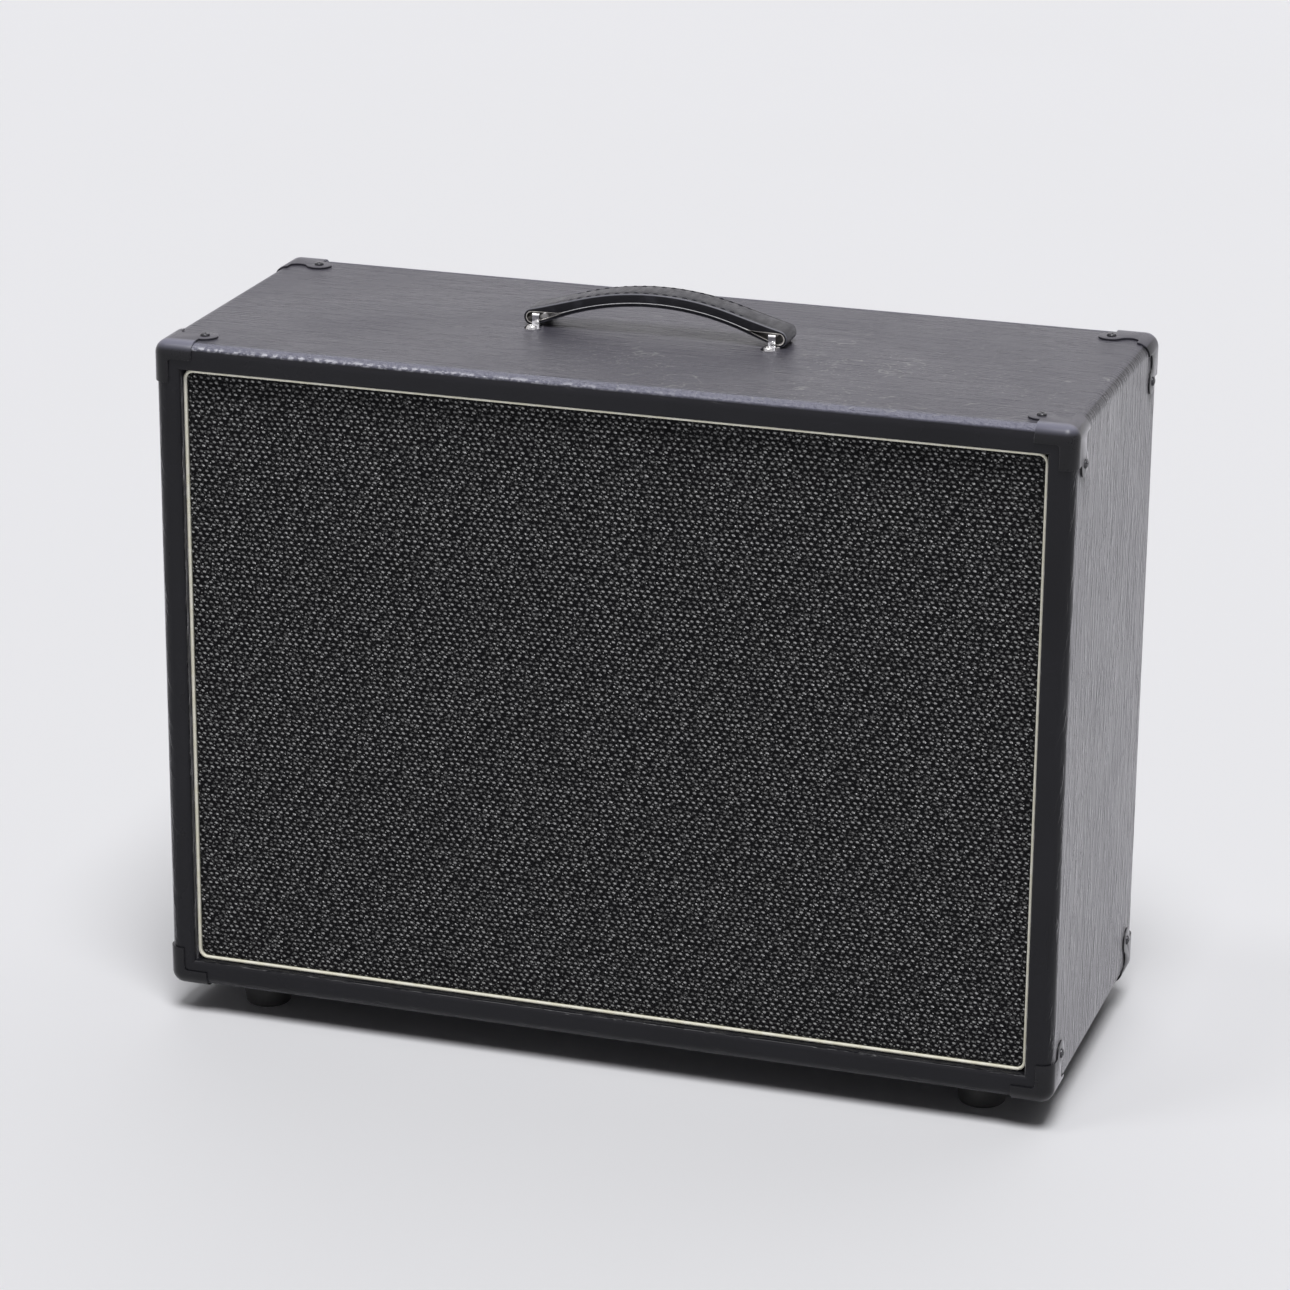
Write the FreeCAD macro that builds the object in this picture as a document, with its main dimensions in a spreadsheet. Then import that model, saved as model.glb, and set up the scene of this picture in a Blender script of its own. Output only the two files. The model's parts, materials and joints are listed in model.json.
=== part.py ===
import FreeCAD
import Part
import math
import os
import re
import Sketcher

# A closed-back guitar speaker cabinet with two loudspeakers side by side.
# Millimetres. The origin is on the floor under the middle: X to the right, Y to the back, Z up.

SIZES = {
    # Carcass: outside of the covering, without feet and handle
    "cabinet_width": 700,
    "cabinet_height": 515,
    "cabinet_depth": 277,
    "edge_radius": 9,
    "rim_radius": 3,
    "vinyl": 0.8,
    "glue_line": 0.25,
    "wall": 18,
    "finger_count": 7,
    "batten": 18,
    # Grille, from the front face inwards
    "grille_recess": 9,
    "cloth": 0.8,
    "cloth_fit": 0.1,
    "grille_frame": 11,
    "grille_rail": 26,
    "grille_post": 30,
    "piping_diameter": 2.6,
    "piping_rest": 0.2,
    "piping_corner": 6.5,
    "piping_tail": 1.2,
    "piping_tail_depth": 9,
    "piping_fit": 0.3,
    # Baffle and loudspeakers: two flanges fill the width between the battens
    "baffle": 18,
    "baffle_fit": 0.5,
    "side_room": 1.45,
    "speaker_gap": 5,
    "flange": 1.5,
    "flange_rim": 13.5,
    "bolt_inset": 5.7,
    "gasket": 3,
    "gasket_lip": 1,
    "gasket_inset": 1.5,
    "throat_inset": 10,
    "landing_outer": 69,
    "landing_inner": 60,
    "cup_step": 12,
    "cup_gap": 2.9,
    "window_inset": 11,
    "window_angle": 34,
    "window_count": 8,
    "cone_inset": 9,
    "cone_lip": 4,
    "cone_paper": 1,
    "cone_depth": 50,
    "cap_radius": 40,
    "cap_rise": 13,
    "cap_paper": 0.6,
    "surround_rim": 10.5,
    "surround_overlap": 3.5,
    "surround_roll_over": 2,
    "surround_cloth": 0.6,
    "surround_bulge": 0.6,
    "spider_drop": 5.2,
    "spider_cloth": 0.5,
    "spider_roll": 3.7,
    "coil_radius": 22.6,
    "former_paper": 0.4,
    "coil_wire": 0.5,
    "coil_length": 14,
    "moving_gap": 0.3,
    "cone_glue": 0.1,
    "gap_width": 0.7,
    "plate_radius": 70,
    "plate_thickness": 6,
    "magnet_radius": 78,
    "magnet_bore": 45,
    "magnet_thickness": 20,
    "vent_radius": 6,
    "plate_chamfer": 1.5,
    "tag_reach": 22,
    "tag_width": 26,
    "tag_thickness": 2,
    "tag_fit": 0.1,
    # Rear panel and sockets
    "rear_recess": 8,
    "rear_panel": 12,
    "rear_fit": 1,
    "rear_screw_inset": 10,
    "rear_side_share": 0.4,
    "jack_plate_width": 104,
    "jack_plate_height": 58,
    "jack_plate": 1.5,
    "jack_plate_corner": 6,
    "jack_spacing": 36,
    "jack_bore": 3.25,
    "jack_bush": 4.8,
    "jack_bush_length": 6,
    "jack_body": 18,
    "jack_body_depth": 27,
    "jack_nut": 7.2,
    "jack_nut_height": 2.6,
    "jack_fit": 0.2,
    "jack_cutout_side": 4,
    "jack_screw_inset": 8,
    # Corner protectors, measured from the sharp corner
    "corner_thickness": 1.3,
    "corner_fit": 0.25,
    "corner_arm": 30,
    "corner_arm_width": 11.5,
    "corner_elbow": 3,
    "corner_ear": 10,
    "corner_screw_across": 31,
    "corner_screw_back": 25,
    "corner_valley_across": 16,
    "corner_valley_back": 35,
    "corner_tongue": 38,
    # Feet
    "foot_height": 25,
    "foot_top": 20.5,
    "foot_bottom": 17.5,
    "foot_round": 2,
    "foot_gap": 0.5,
    "foot_setback": 46.5,
    "foot_recess": 13,
    "foot_recess_radius": 8,
    # Strap handle
    "handle_across": -4,
    "handle_back": 12,
    "handle_width": 27,
    "handle_reach": 96.75,
    "handle_loop": 6.75,
    "handle_rest": 0.3,
    "handle_apex": 33,
    "handle_thickness": 11,
    "handle_tuck": 1.3,
    "handle_leather": 2,
    "handle_lining": 2.4,
    "handle_core": 1.3,
    "handle_liner": 0.7,
    "handle_eye": 24,
    "handle_glue": 0.1,
    "handle_round": 1.6,
    "bracket_inset": 4.25,
    "bracket_strip": 5.5,
    "bracket_play": 0.2,
    "bracket_sheet": 2,
    "bracket_side_gap": 1.2,
    "bracket_foot_width": 12,
    "bracket_foot": 14,
    "bracket_bend": 1.6,
    # Screws
    "screw_clearance": 0.1,
    "screw_point": 1.2,
    "head_edge": 0.35,
    "head_crown": 2.2,
    "head_flat": 0.45,
    "small_head": 3.6,
    "small_head_height": 1.8,
    "small_shank": 1.7,
    "small_length": 14,
    "large_head": 5.5,
    "large_head_height": 3,
    "large_shank": 2.4,
    "foot_grip": 14,
    "speaker_grip": 14,
    "panel_grip": 16,
}

doc = FreeCAD.newDocument("SpeakerCabinet")
sheet = doc.addObject("Spreadsheet::Sheet", "Sizes")
for row, (size_name, size) in enumerate(SIZES.items(), start=1):
    sheet.set(f"A{row}", size_name)
    sheet.set(f"B{row}", str(size))
    sheet.setAlias(f"B{row}", size_name)
doc.recompute()

PIECES = []
UP = FreeCAD.Vector(0, 0, 1)
DOWN = FreeCAD.Vector(0, 0, -1)
BACKWARD = FreeCAD.Vector(0, 1, 0)
ACROSS = FreeCAD.Vector(1, 0, 0)
# Shorter than any edge that has to be told apart
HAIR = 0.1


# Working with sizes, sketches and solids

def bound(expression):
    """The expression with every size name pointing at its cell."""
    def cell(match):
        word = match.group(0)
        return f"Sizes.{word}" if word in SIZES else word
    return re.sub(r"[a-z]\w*", cell, str(expression))


def value(expression):
    """The number that an expression of sizes comes to."""
    return float(sheet.evalExpression(bound(expression)))


def piece(label, item):
    """Name a finished piece, so that it is written out."""
    item.Label = label
    PIECES.append(item)
    return item


def place(item, x="0", y="0", z="0"):
    """Bind where an object stands."""
    for axis, expression in zip("xyz", (x, y, z)):
        item.setExpression(f"Placement.Base.{axis}", bound(expression))
    return item


def block(name, low, high):
    """A box between two corners."""
    item = doc.addObject("Part::Box", name)
    for side, start, end in zip(("Length", "Width", "Height"), low, high):
        item.setExpression(side, bound(f"({end}) - ({start})"))
    return place(item, *low)


def rod(name, radius, length, x, y, z, axis):
    """A cylinder that runs from a point along an axis."""
    item = doc.addObject("Part::Cylinder", name)
    item.setExpression("Radius", bound(radius))
    item.setExpression("Height", bound(length))
    item.Placement = FreeCAD.Placement(FreeCAD.Vector(), FreeCAD.Rotation(UP, axis))
    return place(item, x, y, z)


def combine(kind, name, base, tool):
    """Cut, Fuse or Common of two objects."""
    item = doc.addObject(f"Part::{kind}", name)
    item.Base = base
    item.Tool = tool
    return item


def cut(name, base, *tools):
    """Cut several tools out of a solid, one after the other."""
    for number, tool in enumerate(tools):
        base = combine("Cut", f"{name}Cut{number}", base, tool)
    return base


def fuse(name, *shapes):
    item = doc.addObject("Part::MultiFuse", name)
    item.Shapes = list(shapes)
    return item


def group(name, *solids):
    """Separate solids that share one node."""
    item = doc.addObject("Part::Compound", name)
    item.Links = list(solids)
    return item


def mirrored(name, source, normal, z="0"):
    """The mirror image in the cabinet's middle plane."""
    item = doc.addObject("Part::Mirroring", name)
    item.Source = source
    item.Normal = normal
    item.setExpression("Base.z", bound(z))
    return item


def new_body(name):
    return doc.addObject("PartDesign::Body", name)


def new_sketch(body, role, offset="0"):
    """A sketch on one of the body's own planes, shifted along its normal."""
    sketch = body.newObject("Sketcher::SketchObject", f"{body.Name}Sketch")
    plane = next(item for item in body.Origin.OriginFeatures if item.Role == role)
    sketch.AttachmentSupport = [(plane, "")]
    sketch.MapMode = "FlatFace"
    sketch.setExpression("AttachmentOffset.Base.z", bound(offset))
    return sketch


def fix(sketch, kind, where, expression):
    """A dimension of the sketch, bound to an expression of sizes."""
    number = sketch.addConstraint(Sketcher.Constraint(kind, *where, value(expression)))
    sketch.setExpression(f"Constraints[{number}]", bound(expression))


def fix_point(sketch, geometry, spot, across, up):
    fix(sketch, "DistanceX", (-1, 1, geometry, spot), across)
    fix(sketch, "DistanceY", (-1, 1, geometry, spot), up)


def arc_between(start, end, radius):
    """An arc of under half a circle; a positive radius turns left on the way."""
    chord = end - start
    half = chord.Length / 2
    side = FreeCAD.Vector(-chord.y, chord.x, 0).normalize()
    rise = abs(radius) - math.sqrt(max(radius ** 2 - half ** 2, 0))
    middle = (start + end) / 2 - side * math.copysign(rise, radius)
    return Part.ArcOfCircle(start, middle, end)


def outline(sketch, corners):
    """A closed outline. A third entry is the radius of an arc to the next corner."""
    spots = [FreeCAD.Vector(value(corner[0]), value(corner[1]), 0) for corner in corners]
    first = sketch.GeometryCount
    count = len(corners)
    heads = []
    tails = []
    for index, corner in enumerate(corners):
        start = spots[index]
        end = spots[(index + 1) % count]
        if len(corner) == 3:
            sketch.addGeometry(arc_between(start, end, value(corner[2])), False)
            forward = value(corner[2]) > 0
        else:
            sketch.addGeometry(Part.LineSegment(start, end), False)
            forward = True
        heads.append(1 if forward else 2)
        tails.append(2 if forward else 1)
    for index, corner in enumerate(corners):
        following = (index + 1) % count
        joint = (first + index, tails[index], first + following, heads[following])
        sketch.addConstraint(Sketcher.Constraint("Coincident", *joint))
        fix_point(sketch, first + index, heads[index], corner[0], corner[1])
    for index, corner in enumerate(corners):
        if len(corner) == 3:
            fix(sketch, "Radius", (first + index,), f"abs({corner[2]})")


def rectangle(sketch, left, bottom, right, top):
    outline(sketch, [(left, bottom), (right, bottom), (right, top), (left, top)])


def rounded_rectangle(sketch, half_width, half_height, middle, radius):
    """A rectangle about a middle height, with round corners."""
    low = f"({middle}) - ({half_height})"
    high = f"({middle}) + ({half_height})"
    left = f"0 - ({half_width})"
    outline(sketch, [
        (f"{left} + {radius}", low),
        (f"({half_width}) - {radius}", low, radius),
        (half_width, f"{low} + {radius}"),
        (half_width, f"{high} - {radius}", radius),
        (f"({half_width}) - {radius}", high),
        (f"{left} + {radius}", high, radius),
        (left, f"{high} - {radius}"),
        (left, f"{low} + {radius}", radius),
    ])


def circle(sketch, across, up, radius):
    centre = FreeCAD.Vector(value(across), value(up), 0)
    number = sketch.addGeometry(Part.Circle(centre, UP, value(radius)), False)
    fix_point(sketch, number, 3, across, up)
    fix(sketch, "Radius", (number,), radius)


def pad(body, sketch, length):
    feature = body.newObject("PartDesign::Pad", f"{body.Name}Pad")
    feature.Profile = sketch
    feature.setExpression("Length", bound(length))
    return feature


def pocket(body, sketch):
    """A cut through everything behind the sketch."""
    feature = body.newObject("PartDesign::Pocket", f"{body.Name}Pocket")
    feature.Profile = sketch
    feature.Type = "ThroughAll"
    return feature


def round_edges(body, base, radius, wanted):
    """Round those edges of the base feature that the test picks."""
    doc.recompute()
    edges = [f"Edge{number}" for number, edge in enumerate(base.Shape.Edges, start=1) if wanted(edge)]
    feature = body.newObject("PartDesign::Fillet", f"{body.Name}Fillet")
    feature.Base = (base, edges)
    feature.setExpression("Radius", bound(radius))
    return feature


def turned(name, corners):
    """A solid of revolution about its own Z, from an outline of (radius, height) corners."""
    body = new_body(name)
    sketch = new_sketch(body, "XZ_Plane")
    outline(sketch, corners)
    feature = body.newObject("PartDesign::Revolution", f"{name}Revolution")
    feature.Profile = sketch
    feature.ReferenceAxis = (sketch, ["V_Axis"])
    feature.Angle = 360
    return body


def ring_of(body, feature, count):
    """Repeat a feature evenly about the body's Z axis."""
    ring = body.newObject("PartDesign::PolarPattern", f"{body.Name}Ring")
    ring.Originals = [feature]
    axis = next(item for item in body.Origin.OriginFeatures if item.Role == "Z_Axis")
    ring.Axis = (axis, [""])
    ring.Angle = 360
    ring.setExpression("Occurrences", bound(count))
    body.Tip = ring


def spots_of(points, direction):
    """Where screws go, by expressions, with the way that their heads face."""
    return [(point, direction) for point in points]


def copies(name, master, spots):
    """One solid repeated at several places, as one object."""
    links = []
    for number, (point, direction) in enumerate(spots):
        link = doc.addObject("App::Link", f"{name}Copy{number}")
        link.LinkedObject = master
        link.LinkTransform = True
        link.Placement = FreeCAD.Placement(FreeCAD.Vector(), FreeCAD.Rotation(UP, direction))
        links.append(place(link, *point))
    return group(name, *links)


def screw(name, head, head_height, shank, length):
    """A pan head screw that points down, with the underside of its head at zero."""
    return turned(name, [
        ("0", f"0 - ({length})"),
        (shank, f"{shank} * screw_point - ({length})"),
        (shank, "0"),
        (head, "0"),
        (head, f"{head_height} * head_edge", f"{head_height} * head_crown"),
        (f"{head} * head_flat", head_height),
        ("0", head_height),
    ])


def bore(name, shank, length):
    """The hole that a screw needs, from well above its seat to just past its point."""
    over = "small_length"
    depth = f"{length} + screw_clearance"
    return rod(name, f"{shank} + screw_clearance", f"{depth} + {over}", "0", "0", f"0 - ({depth})", UP)


# Levels and clear sizes that several pieces share

BOTTOM = "foot_height"
TOP = "(foot_height + cabinet_height)"
MIDDLE = "(foot_height + cabinet_height / 2)"
FRONT = "(0 - cabinet_depth / 2)"
BACK = "(cabinet_depth / 2)"
SKIN = "(vinyl + glue_line)"
TIMBER_X = f"(cabinet_width / 2 - {SKIN})"
TIMBER_Y = f"(cabinet_depth / 2 - {SKIN})"
INSIDE_X = f"({TIMBER_X} - wall)"
INSIDE_Z = f"(cabinet_height / 2 - {SKIN} - wall)"
OPENING_X = f"({INSIDE_X} - {SKIN})"
OPENING_Z = f"({INSIDE_Z} - {SKIN})"
PITCH = f"(2 * {TIMBER_Y} / finger_count)"
CLOTH_FACE = f"({FRONT} + grille_recess)"
FRAME_FACE = f"({CLOTH_FACE} + cloth)"
BAFFLE_FACE = f"({FRAME_FACE} + grille_frame)"
BAFFLE_BACK = f"({BAFFLE_FACE} + baffle)"
REAR_FACE = f"({BACK} - rear_recess)"
REAR_INSIDE = f"({REAR_FACE} - rear_panel)"
PIPING_INSET = "(piping_fit + piping_diameter / 2)"
CLOTH_INSET = f"({PIPING_INSET} + piping_tail / 2 + piping_fit)"
FRAME_INSET = f"({CLOTH_INSET} + cloth + cloth_fit)"
CORNER_SEAT = "(corner_fit + corner_thickness)"
FLANGE_RADIUS = f"(({INSIDE_X} - batten - side_room - speaker_gap / 2) / 2)"
SPEAKER_X = f"({FLANGE_RADIUS} + speaker_gap / 2)"
CUTOUT_RADIUS = f"({FLANGE_RADIUS} - flange_rim)"


# Screws and the holes that they sit in

corner_screw = screw("CornerScrew", "small_head", "small_head_height", "small_shank", "small_length")
foot_screw_length = "foot_height - foot_recess + foot_grip"
foot_screw = screw("FootScrew", "large_head", "large_head_height", "large_shank", foot_screw_length)
panel_screw = screw("PanelScrew", "small_head", "small_head_height", "small_shank", "panel_grip")
speaker_screw_length = "flange + gasket + speaker_grip"
speaker_screw = screw(
    "SpeakerScrew", "large_head", "large_head_height", "large_shank", speaker_screw_length
)
corner_hole = bore("CornerHole", "small_shank", "small_length")
foot_hole = bore("FootHole", "large_shank", foot_screw_length)
panel_hole = bore("PanelHole", "small_shank", "panel_grip")

corner_spots = []
for x_sign in (-1, 1):
    for y_sign in (-1, 1):
        screw_y = f"{y_sign} * (cabinet_depth / 2 - corner_screw_back)"
        screw_x = f"{x_sign} * (cabinet_width / 2 - corner_screw_across)"
        face_x = f"{x_sign} * (cabinet_width / 2 + {CORNER_SEAT})"
        side = FreeCAD.Vector(x_sign, 0, 0)
        corner_spots += spots_of([(screw_x, screw_y, f"{TOP} + {CORNER_SEAT}")], UP)
        corner_spots += spots_of([(screw_x, screw_y, f"{BOTTOM} - {CORNER_SEAT}")], DOWN)
        corner_spots += spots_of([(face_x, screw_y, f"{TOP} - corner_screw_across")], side)
        corner_spots += spots_of([(face_x, screw_y, f"{BOTTOM} + corner_screw_across")], side)

FOOT_X = "(cabinet_width / 2 - corner_screw_across - corner_ear - foot_gap - foot_top)"
FOOT_Y = "(cabinet_depth / 2 - foot_setback)"
FOOT_PLACES = {
    "foot_front_left": (f"0 - {FOOT_X}", f"0 - {FOOT_Y}"),
    "foot_front_right": (FOOT_X, f"0 - {FOOT_Y}"),
    "foot_rear_left": (f"0 - {FOOT_X}", FOOT_Y),
    "foot_rear_right": (FOOT_X, FOOT_Y),
}
foot_spots = spots_of([(x, y, "foot_recess") for x, y in FOOT_PLACES.values()], DOWN)

BRACKET_X = "(handle_reach - bracket_inset)"
BRACKET_LEG = "(handle_width / 2 + bracket_side_gap)"
BRACKET_SCREW = f"({BRACKET_LEG} + bracket_sheet + bracket_foot - bracket_foot_width / 2)"
handle_points = []
for x_sign in (-1, 1):
    for y_sign in (-1, 1):
        handle_points.append((
            f"handle_across + {x_sign} * {BRACKET_X}",
            f"handle_back + {y_sign} * {BRACKET_SCREW}",
            f"{TOP} + bracket_sheet",
        ))
handle_spots = spots_of(handle_points, UP)

REAR_SCREW_X = f"({OPENING_X} - rear_screw_inset)"
REAR_SCREW_Z = f"({OPENING_Z} - rear_screw_inset)"
rear_points = []
for share in (-1, -1 / 3, 1 / 3, 1):
    for z_sign in (-1, 1):
        rear_points.append((
            f"{share} * ({REAR_SCREW_X} - batten)",
            REAR_FACE,
            f"{MIDDLE} + {z_sign} * {REAR_SCREW_Z}",
        ))
for x_sign in (-1, 1):
    for z_sign in (-1, 1):
        rear_points.append((
            f"{x_sign} * {REAR_SCREW_X}",
            REAR_FACE,
            f"{MIDDLE} + {z_sign} * rear_side_share * {REAR_SCREW_Z}",
        ))
rear_spots = spots_of(rear_points, BACKWARD)

JACK_SCREW_X = "(jack_plate_width / 2 - jack_screw_inset)"
JACK_SCREW_Z = "(jack_plate_height / 2 - jack_screw_inset)"
jack_points = []
for x_sign in (-1, 1):
    for z_sign in (-1, 1):
        jack_points.append((
            f"{x_sign} * {JACK_SCREW_X}",
            f"{REAR_FACE} + jack_plate",
            f"{MIDDLE} + {z_sign} * {JACK_SCREW_Z}",
        ))
jack_spots = spots_of(jack_points, BACKWARD)

BOLT_STEP = f"({FLANGE_RADIUS} - bolt_inset) * sqrt(0.5)"
BOLT_PLACES = [(f"{a} * {BOLT_STEP}", f"{b} * {BOLT_STEP}") for a in (-1, 1) for b in (-1, 1)]
bolt_points = []
for x_sign in (-1, 1):
    for across, up in BOLT_PLACES:
        bolt_points.append((
            f"{x_sign} * {SPEAKER_X} + {across}",
            f"{BAFFLE_BACK} + gasket + flange",
            f"{MIDDLE} + {up}",
        ))
bolt_spots = spots_of(bolt_points, BACKWARD)

piece("corner_screws", copies("CornerScrews", corner_screw, corner_spots))
piece("foot_screws", copies("FootScrews", foot_screw, foot_spots))
piece("handle_screws", copies("HandleScrews", corner_screw, handle_spots))
piece("rear_panel_screws", copies("RearPanelScrews", panel_screw, rear_spots))
piece("jack_plate_screws", copies("JackPlateScrews", corner_screw, jack_spots))
piece("speaker_screws", copies("SpeakerScrews", speaker_screw, bolt_spots))
corner_holes = copies("CornerHoles", corner_hole, corner_spots)
foot_holes = copies("FootHoles", foot_hole, foot_spots)
handle_holes = copies("HandleHoles", corner_hole, handle_spots)
rear_holes = copies("RearHoles", panel_hole, rear_spots)
jack_holes = copies("JackHoles", corner_hole, jack_spots)


# Carcass: finger jointed panels, rounded over together once glued up

def rounded_form(name, margin):
    """The whole cabinet as a block with round edges, grown by a margin."""
    body = new_body(name)
    sketch = new_sketch(body, "XY_Plane", f"{BOTTOM} - ({margin})")
    half_x = f"cabinet_width / 2 + ({margin})"
    half_y = f"cabinet_depth / 2 + ({margin})"
    rectangle(sketch, f"0 - ({half_x})", f"0 - ({half_y})", half_x, half_y)
    base = pad(body, sketch, f"cabinet_height + 2 * ({margin})")
    round_edges(body, base, f"edge_radius + ({margin})", lambda edge: True)
    return body


def hollow_form(name, margin):
    """The rounded block with its opening from front to back, whose rims are rounded too."""
    body = rounded_form(name, margin)
    half_x = f"({OPENING_X} - ({margin}))"
    half_z = f"({OPENING_Z} - ({margin}))"
    face = f"cabinet_depth / 2 + ({margin})"
    sketch = new_sketch(body, "XZ_Plane", face)
    rectangle(sketch, f"0 - {half_x}", f"{MIDDLE} - {half_z}", half_x, f"{MIDDLE} + {half_z}")

    def rim(edge):
        box = edge.BoundBox
        on_face = box.YLength < HAIR and abs(abs(box.Center.y) - value(face)) < HAIR
        inside = box.XMax < value(half_x) + HAIR and box.ZMax < value(f"{MIDDLE} + {half_z}") + HAIR
        return on_face and inside

    round_edges(body, pocket(body, sketch), f"rim_radius + ({margin})", rim)
    return body


def notch_row(body, sketch, axis, length, count):
    """Repeat the notches of a sketch along the depth of a panel."""
    notch = pocket(body, sketch)
    row_of = body.newObject("PartDesign::LinearPattern", f"{body.Name}Row")
    row_of.Originals = [notch]
    row_of.Direction = (sketch, [axis])
    row_of.setExpression("Length", bound(length))
    row_of.setExpression("Occurrences", bound(count))
    body.Tip = row_of


def flat_panel(name, low, high):
    """Top or bottom: notched at both ends where the sides' fingers come through."""
    body = new_body(name)
    sketch = new_sketch(body, "XY_Plane", low)
    rectangle(sketch, f"0 - {TIMBER_X}", f"0 - {TIMBER_Y}", TIMBER_X, TIMBER_Y)
    pad(body, sketch, f"({high}) - ({low})")
    notches = new_sketch(body, "XY_Plane", high)
    start = f"{PITCH} - {TIMBER_Y}"
    end = f"2 * {PITCH} - {TIMBER_Y}"
    rectangle(notches, f"0 - {TIMBER_X}", start, f"0 - {INSIDE_X}", end)
    rectangle(notches, INSIDE_X, start, TIMBER_X, end)
    notch_row(body, notches, "V_Axis", f"(finger_count - 3) * {PITCH}", "(finger_count - 1) / 2")
    return body


def side_panel(name, low, high):
    """Left or right: notched at top and bottom for the other half of the fingers."""
    body = new_body(name)
    floor = f"{BOTTOM} + {SKIN}"
    ceiling = f"{TOP} - {SKIN}"
    sketch = new_sketch(body, "YZ_Plane", low)
    rectangle(sketch, f"0 - {TIMBER_Y}", floor, TIMBER_Y, ceiling)
    pad(body, sketch, f"({high}) - ({low})")
    notches = new_sketch(body, "YZ_Plane", high)
    start = f"0 - {TIMBER_Y}"
    end = f"{PITCH} - {TIMBER_Y}"
    rectangle(notches, start, floor, end, f"{floor} + wall")
    rectangle(notches, start, f"{ceiling} - wall", end, ceiling)
    notch_row(body, notches, "H_Axis", f"(finger_count - 1) * {PITCH}", "(finger_count + 1) / 2")
    return body


carcass_form = hollow_form("CarcassForm", f"0 - {SKIN}")
PANELS = {
    "top_panel": flat_panel("TopBlank", f"{TOP} - {SKIN} - wall", f"{TOP} - {SKIN}"),
    "bottom_panel": flat_panel("BottomBlank", f"{BOTTOM} + {SKIN}", f"{BOTTOM} + {SKIN} + wall"),
    "left_side_panel": side_panel("LeftBlank", f"0 - {TIMBER_X}", f"0 - {INSIDE_X}"),
    "right_side_panel": side_panel("RightBlank", INSIDE_X, TIMBER_X),
}
for label, blank in PANELS.items():
    rounded = combine("Common", f"{blank.Name}Rounded", blank, carcass_form)
    piece(label, cut(blank.Name, rounded, corner_holes, foot_holes, handle_holes))

# Vinyl covering: a skin over the carcass that folds round the front and rear edges into the recesses
lined_x = f"({OPENING_X} + vinyl)"
lined_z = f"({OPENING_Z} + vinyl)"
unlined = block(
    "Unlined",
    (f"0 - {lined_x}", BAFFLE_FACE, f"{MIDDLE} - {lined_z}"),
    (lined_x, REAR_INSIDE, f"{MIDDLE} + {lined_z}"),
)
covering = cut(
    "Covering",
    hollow_form("CoveringForm", "0"),
    hollow_form("UnderCovering", "0 - vinyl"),
    unlined,
    corner_holes,
    foot_holes,
    handle_holes,
)
piece("vinyl_covering", covering)


# Battens, baffle and rear panel

def batten_ring(name, start, end):
    """Four battens on the inside of the carcass, as separate pieces."""
    low = f"{MIDDLE} - {INSIDE_Z}"
    high = f"{MIDDLE} + {INSIDE_Z}"
    left = f"0 - {INSIDE_X}"
    over_low = f"{low} + batten"
    under_high = f"{high} - batten"
    return [
        block(f"{name}Bottom", (left, start, low), (INSIDE_X, end, over_low)),
        block(f"{name}Top", (left, start, under_high), (INSIDE_X, end, high)),
        block(f"{name}Left", (left, start, over_low), (f"{left} + batten", end, under_high)),
        block(f"{name}Right", (f"{INSIDE_X} - batten", start, over_low), (INSIDE_X, end, under_high)),
    ]


front_bars = batten_ring("FrontBatten", BAFFLE_BACK, f"{BAFFLE_BACK} + batten")
piece("front_battens", group("FrontBattens", *front_bars))
rear_bars = batten_ring("RearBatten", f"{REAR_INSIDE} - batten", REAR_INSIDE)
piece("rear_battens", group("RearBattens", *[cut(bar.Name, bar, rear_holes) for bar in rear_bars]))

baffle = new_body("Baffle")
baffle_sketch = new_sketch(baffle, "XZ_Plane", f"0 - {BAFFLE_BACK}")
baffle_x = f"({INSIDE_X} - baffle_fit)"
baffle_z = f"({INSIDE_Z} - baffle_fit)"
rectangle(baffle_sketch, f"0 - {baffle_x}", f"{MIDDLE} - {baffle_z}", baffle_x, f"{MIDDLE} + {baffle_z}")
for x_sign in (-1, 1):
    centre = f"{x_sign} * {SPEAKER_X}"
    circle(baffle_sketch, centre, MIDDLE, CUTOUT_RADIUS)
    for across, up in BOLT_PLACES:
        circle(baffle_sketch, f"{centre} + {across}", f"{MIDDLE} + {up}", "large_shank + screw_clearance")
pad(baffle, baffle_sketch, "baffle")
piece("baffle_board", baffle)

JACK_CUTOUT_X = "(jack_spacing / 2 + jack_body / 2 + jack_cutout_side)"
JACK_CUTOUT_Z = "(jack_body / 2 + jack_cutout_side)"
rear = new_body("Rear")
rear_sketch = new_sketch(rear, "XZ_Plane", f"0 - {REAR_FACE}")
rear_x = f"({OPENING_X} - rear_fit)"
rear_z = f"({OPENING_Z} - rear_fit)"
rectangle(rear_sketch, f"0 - {rear_x}", f"{MIDDLE} - {rear_z}", rear_x, f"{MIDDLE} + {rear_z}")
rectangle(
    rear_sketch,
    f"0 - {JACK_CUTOUT_X}",
    f"{MIDDLE} - {JACK_CUTOUT_Z}",
    JACK_CUTOUT_X,
    f"{MIDDLE} + {JACK_CUTOUT_Z}",
)
pad(rear, rear_sketch, "rear_panel")
piece("rear_panel", cut("RearPanel", rear, rear_holes, jack_holes))


# Grille: frame, cloth wrapped round it, and piping along its edge

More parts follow.
